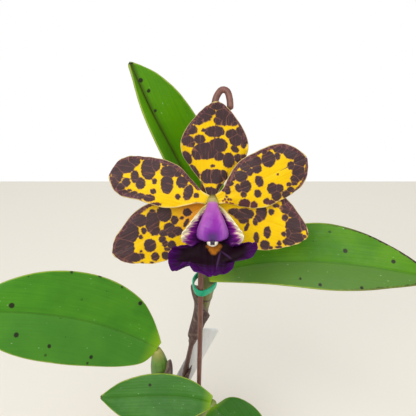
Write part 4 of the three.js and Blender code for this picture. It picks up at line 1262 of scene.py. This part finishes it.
@dataclass(frozen=True)
class Foliage:
    """Five thick strap leaves with a sunk midrib above and a keel below."""

    leaves: Sequence[Leaf] = (
        Leaf("leaf_upper", Blade(
            rib=((25, 25.5, 250), (31, 35, 285), (4, 37, 318), (-8.5, 42, 360)),
            left=(
                (0, 4), (10, 6), (30, 9), (50, 12.2), (70, 12), (90, 8.6), (104, 4.4), (111, 2),
                (114, 0.8)),
            right=(
                (0, 4), (10, 6), (30, 11), (50, 15.4), (70, 17), (90, 14.5), (104, 9.5), (111, 4.6),
                (114, 0.8)),
            face=(0.83, -0.56, 0), fold=33, cup=0.6, twist=-47),
            CuticleLeaf("Leaf_living_waxy_upper", green="#5c9a00", deep="#4c8a02", rib="#3a4208",
                        rib_depth=0.95, rib_reach=2.2, tip="#14120a"),
            ((109.1, 1.4, 0.8), (103.2, 2.7, 0.6), (93.5, 1.8, 0.5))),
        Leaf("leaf_right", Blade(
            rib=((26, 19, 250), (64, 24, 263), (103, 11, 267), (139, -3, 269)),
            left=(
                (0, 4), (10, 7.5), (26, 13.5), (44, 18.5), (62, 20), (80, 17), (95, 11.5), (108, 5.5),
                (118, 0.8)),
            right=(
                (0, 4), (10, 7), (26, 10.5), (46, 13.5), (66, 14.5), (84, 12.5), (98, 8.5), (109, 4.5),
                (118, 0.8)),
            face=(0, -0.55, 0.83), fold=13, cup=0.8, wave=0.5),
            CuticleLeaf("Leaf_living_waxy_right", green="#568e00", deep="#447e04", sheen_cast="#557c30",
                        sheen_halves=(0.0, 0.85), singed=(1.0, 0.55)),
            ((61.4, 12.3, 0.7), (72.9, -6.7, 0.9), (82.6, 11.6, 0.7), (50.7, 9.6, 0.6), (64.9, -15.9, 0.5),
             (96.1, -4.5, 0.8))),
        Leaf("leaf_left", Blade(
            rib=((-5, 12.5, 193), (-35, 16, 217), (-63, 5, 238), (-97, -3, 245)),
            left=(
                (0, 4), (3, 11), (11, 17), (22, 21.5), (40, 24.5), (58, 25.5), (76, 24), (92, 18.5),
                (102, 9.5), (106, 0.8)),
            right=(
                (0, 4), (6, 9.5), (14, 16), (24, 22), (40, 26), (58, 26), (76, 22.5), (92, 15.5), (102, 8),
                (106, 0.8)),
            face=(0, -0.73, 0.68), fold=6, cup=1.2, wave=0.6),
            CuticleLeaf("Leaf_living_waxy_left", green="#4c8e1c", deep="#3e801a", sheen_cast="#46802a",
                        sheen_halves=(0.5, 0.0)),
            ((89, 3.7, 1.3), (84.8, -11.7, 1.2), (65.3, -16.7, 1), (66.2, -21.7, 0.6), (37.4, -18.8, 1),
             (38.2, -22.5, 0.6), (63.7, 25, 0.6), (49.4, 26.5, 0.7), (36.8, 24.6, 0.5), (23.9, 19.8, 1),
             (54.9, 11.5, 0.5), (62.8, -1.2, 0.4))),
        Leaf("leaf_front_left", Blade(
            rib=((28, -13, 176), (6, -7, 178), (-17, -9, 173), (-39, -7, 171)),
            left=((0, 3.5), (4, 7), (12, 12), (24, 15.5), (38, 15.5), (52, 11.5), (60, 6.5), (67, 0.8)),
            right=((0, 3.5), (5, 6), (14, 10), (26, 12.5), (40, 12.2), (53, 9.2), (61, 5.2), (67, 0.8)),
            face=(0, -0.6, 0.8), fold=8, cup=0.8),
            CuticleLeaf("Leaf_living_waxy_front", green="#427a24", deep="#366e1e", tip="#6a5030"),
            ((37, 6.5, 0.7),)),
        Leaf("leaf_front_right", Blade(
            rib=((29.6, -15.4, 175), (38, -31, 190), (44, -52, 199), (46, -74, 196)),
            left=((0, 2.4), (3, 9), (9, 14), (19, 17), (31, 17.5), (44, 14), (55, 8), (61, 4), (64, 0.8)),
            right=((0, 2.4), (5, 8), (14, 12), (24, 15), (36, 15.5), (48, 12), (57, 7), (62, 3.5), (64, 0.8)),
            face=(0.1, -0.35, 0.93), fold=10, cup=0.8),
            CuticleLeaf("Leaf_living_waxy_front", green="#427a24", deep="#366e1e", tip="#6a5030")),
    )
    mesh: tuple[int, int] = (150, 48)
    # Half thickness down the middle, how much thinner it is at the margin, and the keel's height
    half: tuple[float, float, float] = (0.75, 0.4, 0.5)
    vein_spacing: float = 1.7

    def build(self) -> None:
        """Builds and dresses every leaf."""
        u, v = grid(*self.mesh)
        middle, thinning, keel_height = self.half
        for seed, leaf in enumerate(self.leaves, 60):
            _, _, width = leaf.blade.surface(u, v, np.zeros_like(u))
            groove = -0.55 * np.exp(-(width / 0.8) ** 2) * (1 - 0.6 * u)
            swell = 0.35 * ripple(6 * u, 2 * v, seed, 3) * ease(1 - u, 0, 0.1)
            lines = 0.03 * np.sin(TURN * width / self.vein_spacing)
            points, reach, width = leaf.blade.surface(u, v, groove + swell + lines)
            margin = from_margin(u, v, reach, width)
            thick = middle - thinning * v * v
            keel = thick + keel_height * np.exp(-(width / 1.2) ** 2) * (1 - 0.7 * u)
            marks = np.min([np.hypot(reach - s, width - w) - r for s, w, r in leaf.marks], axis=0)
            values = {"s": reach, "w": width, "margin": margin, "along": u, "marks": marks}
            piece = sheet(leaf.node + "_blade", points, thick, keel, values)
            place(piece, leaf.node, "leaf", leaf.finish.material())


@dataclass(frozen=True)
class Cane:
    """One pseudobulb: a path, its swellings, and where its joints ring it."""

    node: str
    path: Path
    stations: Points
    finish: FibrousStem


@dataclass(frozen=True)
class Sheath:
    """One papery bract round a cane, from one share of its length to another."""

    node: str
    cane: int
    start: float
    end: float
    away: float
    stand: float
    toward: Point


@dataclass(frozen=True)
class Stems:
    """Pseudobulbs, their dried sheaths, the flower stalk and the rooted rhizome."""

    facing: Point = (0, -1, 0.2)
    canes: Sequence[Cane] = (
        Cane("pseudobulb_flowering", Path.through((
            (3, 27, 84), (7.5, 28.5, 125), (12, 29.5, 155), (16.5, 29.5, 182), (22, 27, 210),
            (25, 23.5, 232), (25, 22, 249))), (
            (0, 4.6), (0.06, 5), (0.16, 3.2), (0.3, 1.9), (0.52, 1.6), (0.58, 2.6), (0.68, 3),
            (0.78, 3.6), (0.86, 3.6), (0.95, 4.7), (1, 3.2)),
            FibrousStem("Stem_living_flowering", body="#75554c", shade="#5c4440", tip="#85884a", tip_from=0.8,
                        rings=(0.16, 0.38, 0.56, 0.72, 0.87))),
        Cane("pseudobulb_left", Path.through((
            (-8, 8, 83), (-6.5, 10, 120), (-4.5, 11.5, 158), (-4.5, 11.5, 178), (-5, 12, 192))), (
            (0, 4.6), (0.08, 5.4), (0.3, 5), (0.6, 5.6, 5.4), (0.82, 5.8, 5.4), (0.94, 4.2, 4), (1, 2.4)),
            FibrousStem("Stem_living_left", body="#6f9a3a", shade="#517a24", tip="#b0a458", tip_from=0.985,
                        rings=(0.22, 0.48, 0.74))),
        Cane("pseudobulb_front", Path.through((
            (18, -9, 83), (20, -10, 110), (24, -11.5, 145), (28.5, -13, 175))), (
            (0, 4.6), (0.08, 5.4), (0.3, 5.2), (0.6, 5.8), (0.88, 4.8), (1, 2.6)),
            FibrousStem("Stem_living_front", body="#7a9a44", shade="#5a7c2c", tip="#8c9a50",
                        rings=(0.2, 0.45, 0.7))),
    )
    sheaths: Sequence[Sheath] = (
        Sheath("sheath_flowering_upper", 0, 0.6, 0.93, 0.2, 3.2, (-1, -0.1, 0)),
        Sheath("sheath_flowering_lower", 0, 0.08, 0.42, 0.2, 0.8, (1, -0.4, 0)),
        Sheath("sheath_left", 1, 0.4, 0.93, 0.2, 1.2, (1, -0.3, 0)),
        Sheath("sheath_front", 2, 0.2, 0.8, 0.2, 1.0, (0.6, -1, 0)),
    )
    cane_mesh: tuple[int, int] = (180, 48)
    stalk_mesh: tuple[int, int] = (140, 40)
    rhizome_mesh: tuple[int, int] = (120, 32)
    root_mesh: tuple[int, int] = (70, 20)
    sheath_mesh: tuple[int, int] = (72, 60)
    # Half turn that a sheath wraps in radians, its half thickness and its distance off the cane
    sheath_wrap: float = 2.75
    sheath_half: float = 0.26
    sheath_off: float = 0.925
    stalk: Points = (
        (25.5, 22.5, 250.5), (26, 23.5, 262), (26, 24.5, 278), (27, 24, 292), (27.8, 18, 302.5),
        (28, 12, 306.4), (28, 6.6, 309))
    stalk_stations: Points = ((0, 1.9), (0.2, 1.8), (0.5, 2.1), (0.8, 2.7), (1, 2.5))
    rhizome: Points = (
        (6, 34, 79.5), (3, 27, 80), (-6, 18, 78.5), (-8, 8, 79), (5, -4, 78), (18, -9, 79), (28, -14, 79.5))
    rhizome_stations: Points = (
        (0, 2.5), (0.06, 4.2), (0.3, 4.6, 4.4), (0.6, 4.8, 4.5), (0.9, 4.4, 4.2), (1, 1.8))
    roots: Sequence[Points] = (
        ((0, 24, 79), (14, 20, 82.5), (25, 10, 79), (30, 4, 66)),
        ((-6, 16, 78.5), (-15, 18, 82.5), (-23, 20, 79), (-26, 22, 64)),
        ((-8, 6, 79), (-20, 1, 82.5), (-29, -6, 79), (-32, -11, 64)),
        ((2, -2, 78), (-6, -14, 82), (-14, -23, 79), (-18, -28, 64)),
        ((16, -8, 79), (16, -19, 82.5), (11, -28, 79), (6, -33, 64)),
        ((23, -11, 79), (31, -6, 82.5), (34, 4, 79), (33, 12, 66)),
    )

    def build_cane(self, cane: Cane) -> None:
        """Builds and dresses a cane, with fine ribs and a low collar at each joint."""

        def relief(t: Array, turn: Array) -> Array:
            """Returns the collars and ribs."""
            collars = sum(0.3 * np.exp(-((t - ring) / 0.012) ** 2) for ring in cane.finish.rings)
            ribs = 0.07 * np.sin(13 * turn + 2 * ripple(5 * t, turn, 3, 2))
            return (collars + ribs) * ease(1 - t, 0, 0.05)

        radii = partial(radii_at, cane.stations)
        piece = rod(cane.node + "_skin", cane.path, radii, self.facing, *self.cane_mesh, relief)
        place(piece, cane.node, "pseudobulb", cane.finish.material())

    def build_sheath(self, sheath: Sheath, seed: int) -> None:
        """Builds and dresses a sheath, with a torn edge that stands off its cane.

        Args:
            sheath: The sheath.
            seed: Which tears and waves it has.
        """
        cane = self.canes[sheath.cane]
        u, v = grid(*self.sheath_mesh)
        turn = v * self.sheath_wrap
        tear = 1 - 0.03 * np.abs(np.sin(9 * v + seed))
        reach = sheath.end + (sheath.start - sheath.end) * 0.55 * np.abs(v) ** 1.3
        t = sheath.start + (reach - sheath.start) * u * tear
        centre, tangent = cane.path.at(t)
        ahead, side = square_to(tangent, sheath.toward)
        off = np.maximum(*radii_at(cane.stations, t)) + self.sheath_off + sheath.away * u
        off = off + sheath.stand * ease(u, 0.55, 1) * np.cos(turn / 2)
        off = off + 0.18 * ripple(7 * u, 6 * v, seed, 3) * ease(u, 0.1, 0.5) + 0.05 * np.sin(26 * turn)
        points = centre + ahead * (off * np.cos(turn))[..., None] + side * (off * np.sin(turn))[..., None]
        arc = off * turn
        span = (sheath.end - sheath.start) * cane.path.length
        margin = np.minimum(off * (self.sheath_wrap - np.abs(turn)), (1 - u) * span)
        thick = np.full_like(u, self.sheath_half)
        values = {"s": t * cane.path.length, "w": arc, "margin": margin}
        piece = sheet(sheath.node + "_paper", points, thick, thick, values)
        place(piece, sheath.node, "sheath", DriedSheath("Sheath_dried_papery").material())

    def build_rhizome(self) -> None:
        """Builds the rhizome and its roots as one piece, and dresses it."""

        def knobbly(t: Array, turn: Array) -> Array:
            """Returns the rhizome's close joints."""
            return 0.3 * ripple(26 * t, 2 * np.sin(turn), 8) + 0.25 * np.cos(TURN * 16 * t)

        def grown(t: Array, turn: Array) -> Array:
            """Returns a root's unevenness."""
            return 0.12 * ripple(24 * t, 2 * np.sin(turn), 9)

        def tapered(t: Array) -> tuple[Array, Array]:
            """Returns a root's half widths."""
            return 1.7 - 0.6 * t, 1.7 - 0.6 * t

        parts = [rod("rhizome_skin", Path.through(self.rhizome), partial(radii_at, self.rhizome_stations),
                     (0, 0, 1), *self.rhizome_mesh, knobbly)]
        for root in self.roots:
            line = Path.bezier(root)
            parts.append(rod("root", line, tapered, (0.6, 0.7, 0.4), *self.root_mesh, grown))
        place(joined(parts), "rhizome", "rhizome", RootVelamen("Rhizome_living_corky").material())

    def build(self) -> None:
        """Builds every stem."""
        for cane in self.canes:
            self.build_cane(cane)
        for seed, sheath in enumerate(self.sheaths, 20):
            self.build_sheath(sheath, seed)
        finish = FibrousStem("Stalk_living_satin", body="#8a9a4c", shade="#6c7c34", tip="#b0a060",
                             rings=(0.3,))
        stalk = rod("flower_stalk_skin", Path.through(self.stalk), partial(radii_at, self.stalk_stations),
                    (0, -1, 0), *self.stalk_mesh, lambda t, a: 0.09 * np.cos(6 * a) * ease(t, 0.45, 0.8))
        place(stalk, "flower_stalk", "flower_stalk", finish.material())
        self.build_rhizome()


@dataclass(frozen=True)
class Potting:
    """The clay pot and its bark."""

    profile: Points = (
        (0, 0), (24, 0), (25, 0.6), (28.5, 0.6), (29.5, 0), (30.4, 0.4), (31, 1.5), (42.28, 68.2),
        (42.6, 68.9), (46.2, 69.2), (47.2, 70), (47.5, 71.4), (47.5, 82.6), (47.1, 84.2), (45.9, 85),
        (44.3, 85), (41.2, 84.5), (40.3, 83), (27.9, 9.5), (27, 7), (25, 6), (0, 6))
    pot_sides: int = 192
    bark_sides: int = 150
    drain_radius: float = 4.5
    drain_ring: float = 17.0
    drain_count: int = 4
    drain_sides: int = 48
    medium_radius: float = 38.6
    medium_foot: float = 27.0
    medium_top: float = 76.0
    medium_dome: float = 2.5
    chips: int = 130
    chip_mesh: tuple[int, int] = (15, 22)
    chip_sizes: Points = ((8, 5.5, 2.6), (15, 10, 4.8))
    # Places that chips keep clear of: across, back and radius
    kept_clear: Points = ((3, 27, 6), (-8, 8, 6), (18, -9, 6), (18, 19, 3), (-9, 32.5, 7))
    seed: int = 7

    def build_pot(self) -> None:
        """Turns the pot's wall and cuts its drain holes."""
        corners = np.array(self.profile, float)
        steps = [np.linspace(a, b, 3 if math.dist(a, b) < 4 else 22, endpoint=False)
                 for a, b in zip(corners, corners[1:])]
        outline = np.vstack(steps)[1:]
        turn = np.arange(self.pot_sides) * TURN / self.pot_sides
        radius = outline[:, :1] * np.ones_like(turn)
        wander = 0.16 * ripple(outline[:, 1:] / 9, np.cos(turn)[None, :] * 2, 12, 3)
        radius = radius + wander * ease(radius, 20, 30)
        height = outline[:, 1:] * np.ones_like(turn)
        pot = loft("pot_turned", np.stack([radius * np.cos(turn), radius * np.sin(turn), height], -1), {})
        cutter = bmesh.new()
        for index in range(self.drain_count):
            spin = Matrix.Rotation(TURN * (index + 0.5) / self.drain_count, 4, "Z")
            move = spin @ Matrix.Translation((self.drain_ring * MM, 0, 3 * MM))
            radius = self.drain_radius * MM
            bmesh.ops.create_cone(cutter, cap_ends=True, segments=self.drain_sides, radius1=radius,
                                  radius2=radius, depth=12 * MM, matrix=move)
        holes = linked("drain_cutter", bpy.data.meshes.new("drain_cutter"))
        cutter.to_mesh(holes.data)
        cutter.free()
        cut = pot.modifiers.new("drain_holes", "BOOLEAN")
        cut.object = holes
        cut.solver = "EXACT"
        view = bpy.context.evaluated_depsgraph_get()
        mesh = bpy.data.meshes.new_from_object(pot.evaluated_get(view))
        pot.modifiers.clear()
        pot.data = mesh
        bpy.data.objects.remove(holes)
        place(pot, "pot", "clay", Terracotta("Earthenware_thrown_unglazed").material())

    def build_bark(self) -> None:
        """Fills the pot with a rough plug and beds chips of bark in its top."""
        rng = np.random.default_rng(self.seed)
        turn = np.arange(self.bark_sides) * TURN / self.bark_sides
        outline = np.vstack([
            np.stack([np.linspace(2, self.medium_foot, 12), np.full(12, 6.4)], -1),
            np.linspace((self.medium_foot, 9), (self.medium_radius, self.medium_top), 40),
            np.stack([np.linspace(self.medium_radius - 1, 0.5, 70),
                      self.medium_top + self.medium_dome * (1 - np.linspace(1, 0, 70) ** 2)], -1)])
        radius, height = outline[:, :1] * np.ones_like(turn), outline[:, 1:] * np.ones_like(turn)
        x, y = radius * np.cos(turn), radius * np.sin(turn)
        height = height + (0.9 * ripple(x / 2.4, y / 2.4, 31) - 1.2) * (height > self.medium_top - 1)
        values = {"chunk": ease(ripple(x / 3, y / 3, 33), -1, 1)}
        parts = [loft("bark_chips", np.stack([x, y, height], -1), values)]
        rings, sides = self.chip_mesh
        polar = np.linspace(0.08, math.pi - 0.08, rings)
        p, a = np.meshgrid(polar, np.arange(sides) * TURN / sides, indexing="ij")
        ball = np.stack([np.sin(p) * np.cos(a), np.sin(p) * np.sin(a), np.cos(p)], -1)
        block = np.sign(ball) * np.abs(ball) ** 0.45
        while len(parts) <= self.chips:
            size = rng.uniform(*self.chip_sizes) / 2
            reach = (self.medium_radius - size[0] - 0.5) * math.sqrt(rng.uniform())
            angle = rng.uniform(0, TURN)
            spot = np.array([reach * math.cos(angle), reach * math.sin(angle)])
            if any(math.dist(spot, (cx, cy)) < r + size[1] for cx, cy, r in self.kept_clear):
                continue
            seed = int(rng.integers(1 << 30))
            rough = ripple(block[..., 0] * 3 + block[..., 2] * 4, block[..., 1] * 3, seed)
            chip = block * (1 + 0.13 * rough[..., None]) * size
            chip[..., 2] += 0.25 * ripple(chip[..., 0] * 0.9, chip[..., 1] * 0.9, seed + 1)
            tilt = Matrix.Rotation(rng.uniform(0, TURN), 3, "Z")
            tilt = tilt @ Matrix.Rotation(rng.normal(0, 0.3), 3, "X")
            tilt = tilt @ Matrix.Rotation(rng.normal(0, 0.25), 3, "Y")
            top = self.medium_top + self.medium_dome * (1 - (reach / self.medium_radius) ** 2)
            chip = chip @ np.array(tilt).T + np.array([*spot, top - 0.4 + rng.uniform(-0.6, 0.6)])
            parts.append(loft("chip", chip, {"chunk": np.full(p.shape, rng.uniform(0.2, 1))}))
        place(joined(parts), "bark_medium", "bark", FirBark("Fir_bark_graded").material())

    def build(self) -> None:
        """Builds the pot and its bark."""
        self.build_pot()
        self.build_bark()


@dataclass(frozen=True)
class RingClip:
    """A moulded ring clip round the stake and a stem, with two ears to press it open."""

    node: str
    stake: Point
    stem: Point
    stem_radius: float
    height: float
    ears: float
    wall: float = 1.1
    stake_inner: float = 1.8
    slack: float = 0.5
    pinch: float = 0.18
    ear_length: float = 5.6
    ear_splay: float = 1.4
    section_points: int = 24
    band_rings: int = 200
    ear_rings: int = 40

    def build(self) -> None:
        """Moulds the band and its ears, and dresses them."""
        near, far = np.array(self.stake[:2], float), np.array(self.stem[:2], float)
        axis = unit(near - far)
        across = np.array([-axis[1], axis[0]])
        turn = np.linspace(0, TURN, self.section_points, endpoint=False)
        # A squarish section with rounded corners, carried round a rounded oval
        deep, tall = (np.sign(f(turn)) * np.abs(f(turn)) ** 0.45 for f in (np.cos, np.sin))
        back = self.stem_radius + CLIP_AIR + self.wall / 2
        front = math.dist(near, far) + self.stake_inner + self.wall / 2
        angle = np.linspace(0, TURN, self.band_rings, endpoint=False)[:, None]
        pinch = 1 - self.pinch * ease(np.cos(angle), 0, 1)
        middle = far + axis * (front - back) / 2 + axis * np.cos(angle) * (front + back) / 2
        middle = middle + across * np.sin(angle) * (back + self.slack) * pinch
        out = unit(axis * np.cos(angle) + across * np.sin(angle))
        flat = middle[:, None] + out[:, None] * (deep * self.wall / 2)[None, :, None]
        rise = self.stake[2] + np.broadcast_to(tall * self.height / 2, flat.shape[:2])
        parts = [loft(self.node + "_moulded", np.dstack([flat, rise]), {}, looped=True)]
        heading = axis * math.cos(self.ears) + across * math.sin(self.ears)
        hand = np.array([-heading[1], heading[0]])
        share = np.linspace(0, 1, self.ear_rings)[:, None]
        for side in (-1, 1):
            middle = far + heading * (back + self.ear_length * share)
            middle = middle + hand * side * (self.ear_splay + 0.3 * share)
            flat = middle[:, None] + hand * (self.wall / 2 * (1 - 0.25 * share) * deep)[..., None]
            half = self.height / 2 * (1 - 0.2 * share) * np.sqrt(1 - 0.9 * ease(share, 0.9, 1)) * tall
            parts.append(loft("ear", np.dstack([flat, self.stake[2] + half]), {}))
        place(joined(parts), self.node, "clip_plastic", Plastic("Polypropylene_moulded_green").material())


@dataclass(frozen=True)
class Supports:
    """The hooked stake, its two ring clips and the plant label."""

    stake: Points = (
        (14.5, 17, 18), (18, 19, 80), (20.5, 17.5, 172), (21.5, 14, 215), (22, 13.6, 245), (22.4, 15.2, 276),
        (24, 20.5, 310), (28.7, 31.2, 344), (30, 34, 348.2), (32.3, 36, 350.2), (34.4, 35.6, 349.8),
        (35.6, 32.8, 347.4), (35.9, 28.8, 343.8))
    stake_length: float = 350.0
    stake_radius: float = 1.5
    clips: Sequence[RingClip] = (
        RingClip("clip_lower", (22, 13.7, 243.5), (25, 22.3, 243.5), 4.9, 4.2, 2.4),
        RingClip("clip_upper", (22.4, 15.2, 275.5), (26, 24.3, 275.5), 2.2, 3.4, 2.2),
    )
    stake_mesh: tuple[int, int] = (420, 24)
    label_mesh: tuple[int, int] = (130, 24)
    label: Points = ((-16, 31, 60), (-9, 32.5, 80), (28, 38.5, 178.5))
    label_width: float = 13.0
    label_thickness: float = 0.8
    label_corner: float = 2.2
    label_bow: float = 0.25
    label_facing: Point = (0.25, -1, 0)

    def build_stake(self) -> None:
        """Draws the wire in its dipped coat, which closes in a dome at both ends."""

        def radii(t: Array) -> tuple[Array, Array]:
            """Returns the coat's radius, which closes at the ends."""
            end = np.minimum(t, 1 - t) * self.stake_length / self.stake_radius
            dome = np.sqrt(np.clip(1 - (1 - np.clip(end, 0, 1)) ** 2, 0.02, 1))
            return self.stake_radius * dome, self.stake_radius * dome

        piece = rod("stake_coated", Path.through(self.stake), radii, (0.1, -1, 0.05), *self.stake_mesh,
                    lambda t, a: 0.03 * ripple(120 * t, np.sin(a), 14) * ease(1 - t, 0, 0.02))
        coating = Plastic("Polyvinyl_chloride_dipped", colour="#6e4236", shade="#8a5c50", roughness=0.38)
        place(piece, "stake", "coated_wire", coating.material())

    def build_label(self) -> None:
        """Cuts the label, with rounded corners at its head and a pointed foot."""
        u, v = grid(*self.label_mesh)
        path = Path.through(self.label)
        from_head = (1 - u) * path.length
        corner = self.label_corner
        arc = np.sqrt(np.clip(corner**2 - (corner - from_head) ** 2, 0, None))
        head = np.where(from_head < corner, corner - arc, 0)
        half = self.label_width / 2 - head
        half = half * (0.12 + 0.88 * ease(u * path.length, 0, 12))
        centre, tangent = path.at(u)
        normal, side = square_to(tangent, self.label_facing)
        bow = self.label_bow * (1 - v * v)
        points = centre + side * (half * v)[..., None] + normal * bow[..., None]
        thick = self.label_thickness / 2 * (0.6 + 0.4 * ease(1 - np.abs(v), 0, 0.1))
        piece = sheet("label_cut", points, thick, thick, {"s": u * path.length, "w": half * v})
        card = Plastic("Polystyrene_sheet_frosted", colour="#fcfdfc", shade="#f2f4f2", roughness=0.4,
                       transmission=0.05)
        place(piece, "label", "label_plastic", card.material())

    def build(self) -> None:
        """Builds the stake, the clips and the label."""
        self.build_stake()
        for clip in self.clips:
            clip.build()
        self.build_label()


@dataclass(frozen=True)
class Studio:
    """A pale floor, soft lights and the camera at the photograph's angle."""

    camera_at: Point = (0.026, -0.1647, 0.440)
    camera_tilt: float = 52.0
    lens: float = 41.36
    sensor: float = 36.0
    floor_back: float = 0.468
    floor_colour: str = "#f4efe3"
    lamps: Sequence[tuple[str, Point, float, float]] = (
        ("key", (-0.35, -0.55, 1.15), 0.7, 7.0),
        ("fill", (0.8, -0.4, 0.8), 0.9, 2.0),
        ("top", (0.05, 0.25, 1.3), 0.9, 3.0),
    )
    world_strength: float = 0.5

    def build_camera(self) -> None:
        """Sets the camera."""
        data = bpy.data.cameras.new("photo_view")
        data.lens = self.lens
        data.sensor_width = self.sensor
        data.clip_start = 0.01
        camera = linked("photo_view", data)
        camera.location = self.camera_at
        camera.rotation_euler = (math.radians(self.camera_tilt), 0, 0)
        bpy.context.scene.camera = camera

    def build_floor(self) -> None:
        """Lays the floor."""
        mesh = bpy.data.meshes.new("floor")
        back, side, front = self.floor_back, 2.5, -2.5
        corners = [(-side, front, 0), (side, front, 0), (side, back, 0), (-side, back, 0)]
        mesh.from_pydata(corners, [], [(0, 1, 2, 3)])
        floor = linked("floor", mesh)
        material = bpy.data.materials.new("Floor_matte_card")
        material.use_nodes = True
        shader = material.node_tree.nodes["Principled BSDF"]
        shader.inputs["Base Color"].default_value = linear(self.floor_colour)
        shader.inputs["Roughness"].default_value = 0.9
        mesh.materials.append(material)

    def build_lights(self) -> None:
        """Hangs the soft lamps and lights the world."""
        for name, place_at, size, power in self.lamps:
            data = bpy.data.lights.new(name, "AREA")
            data.size = size
            data.energy = power
            lamp = linked(name, data)
            lamp.location = place_at
            aim = Vector((0.0, 0.0, 0.25)) - Vector(place_at)
            lamp.rotation_euler = aim.to_track_quat("-Z", "Y").to_euler()
        world = bpy.data.worlds.new("studio")
        world.use_nodes = True
        tree = world.node_tree
        back = tree.nodes["Background"]
        back.inputs["Color"].default_value = (1.0, 1.0, 1.0, 1.0)
        # White behind the plant, and a softer light on it
        seen = add_node(tree, Node.LIGHT_PATH).outputs["Is Camera Ray"]
        strength = add_node(tree, Node.RANGE, seen, 0.0, 1.0, self.world_strength, 1.0)
        tree.links.new(strength.outputs["Result"], back.inputs["Strength"])
        bpy.context.scene.world = world
        bpy.context.scene.view_settings.view_transform = "Standard"

    def build(self) -> None:
        """Builds the whole studio."""
        self.build_camera()
        self.build_floor()
        self.build_lights()


def main() -> None:
    """Builds every part of the plant and the studio."""
    logging.basicConfig(level=logging.INFO, format="%(name)s: %(message)s")
    Studio().build()
    for part in (Potting(), Stems(), Foliage(), Bloom(), Supports()):
        part.build()
        LOG.info("%s done", type(part).__name__)


if __name__ == "__main__":
    main()
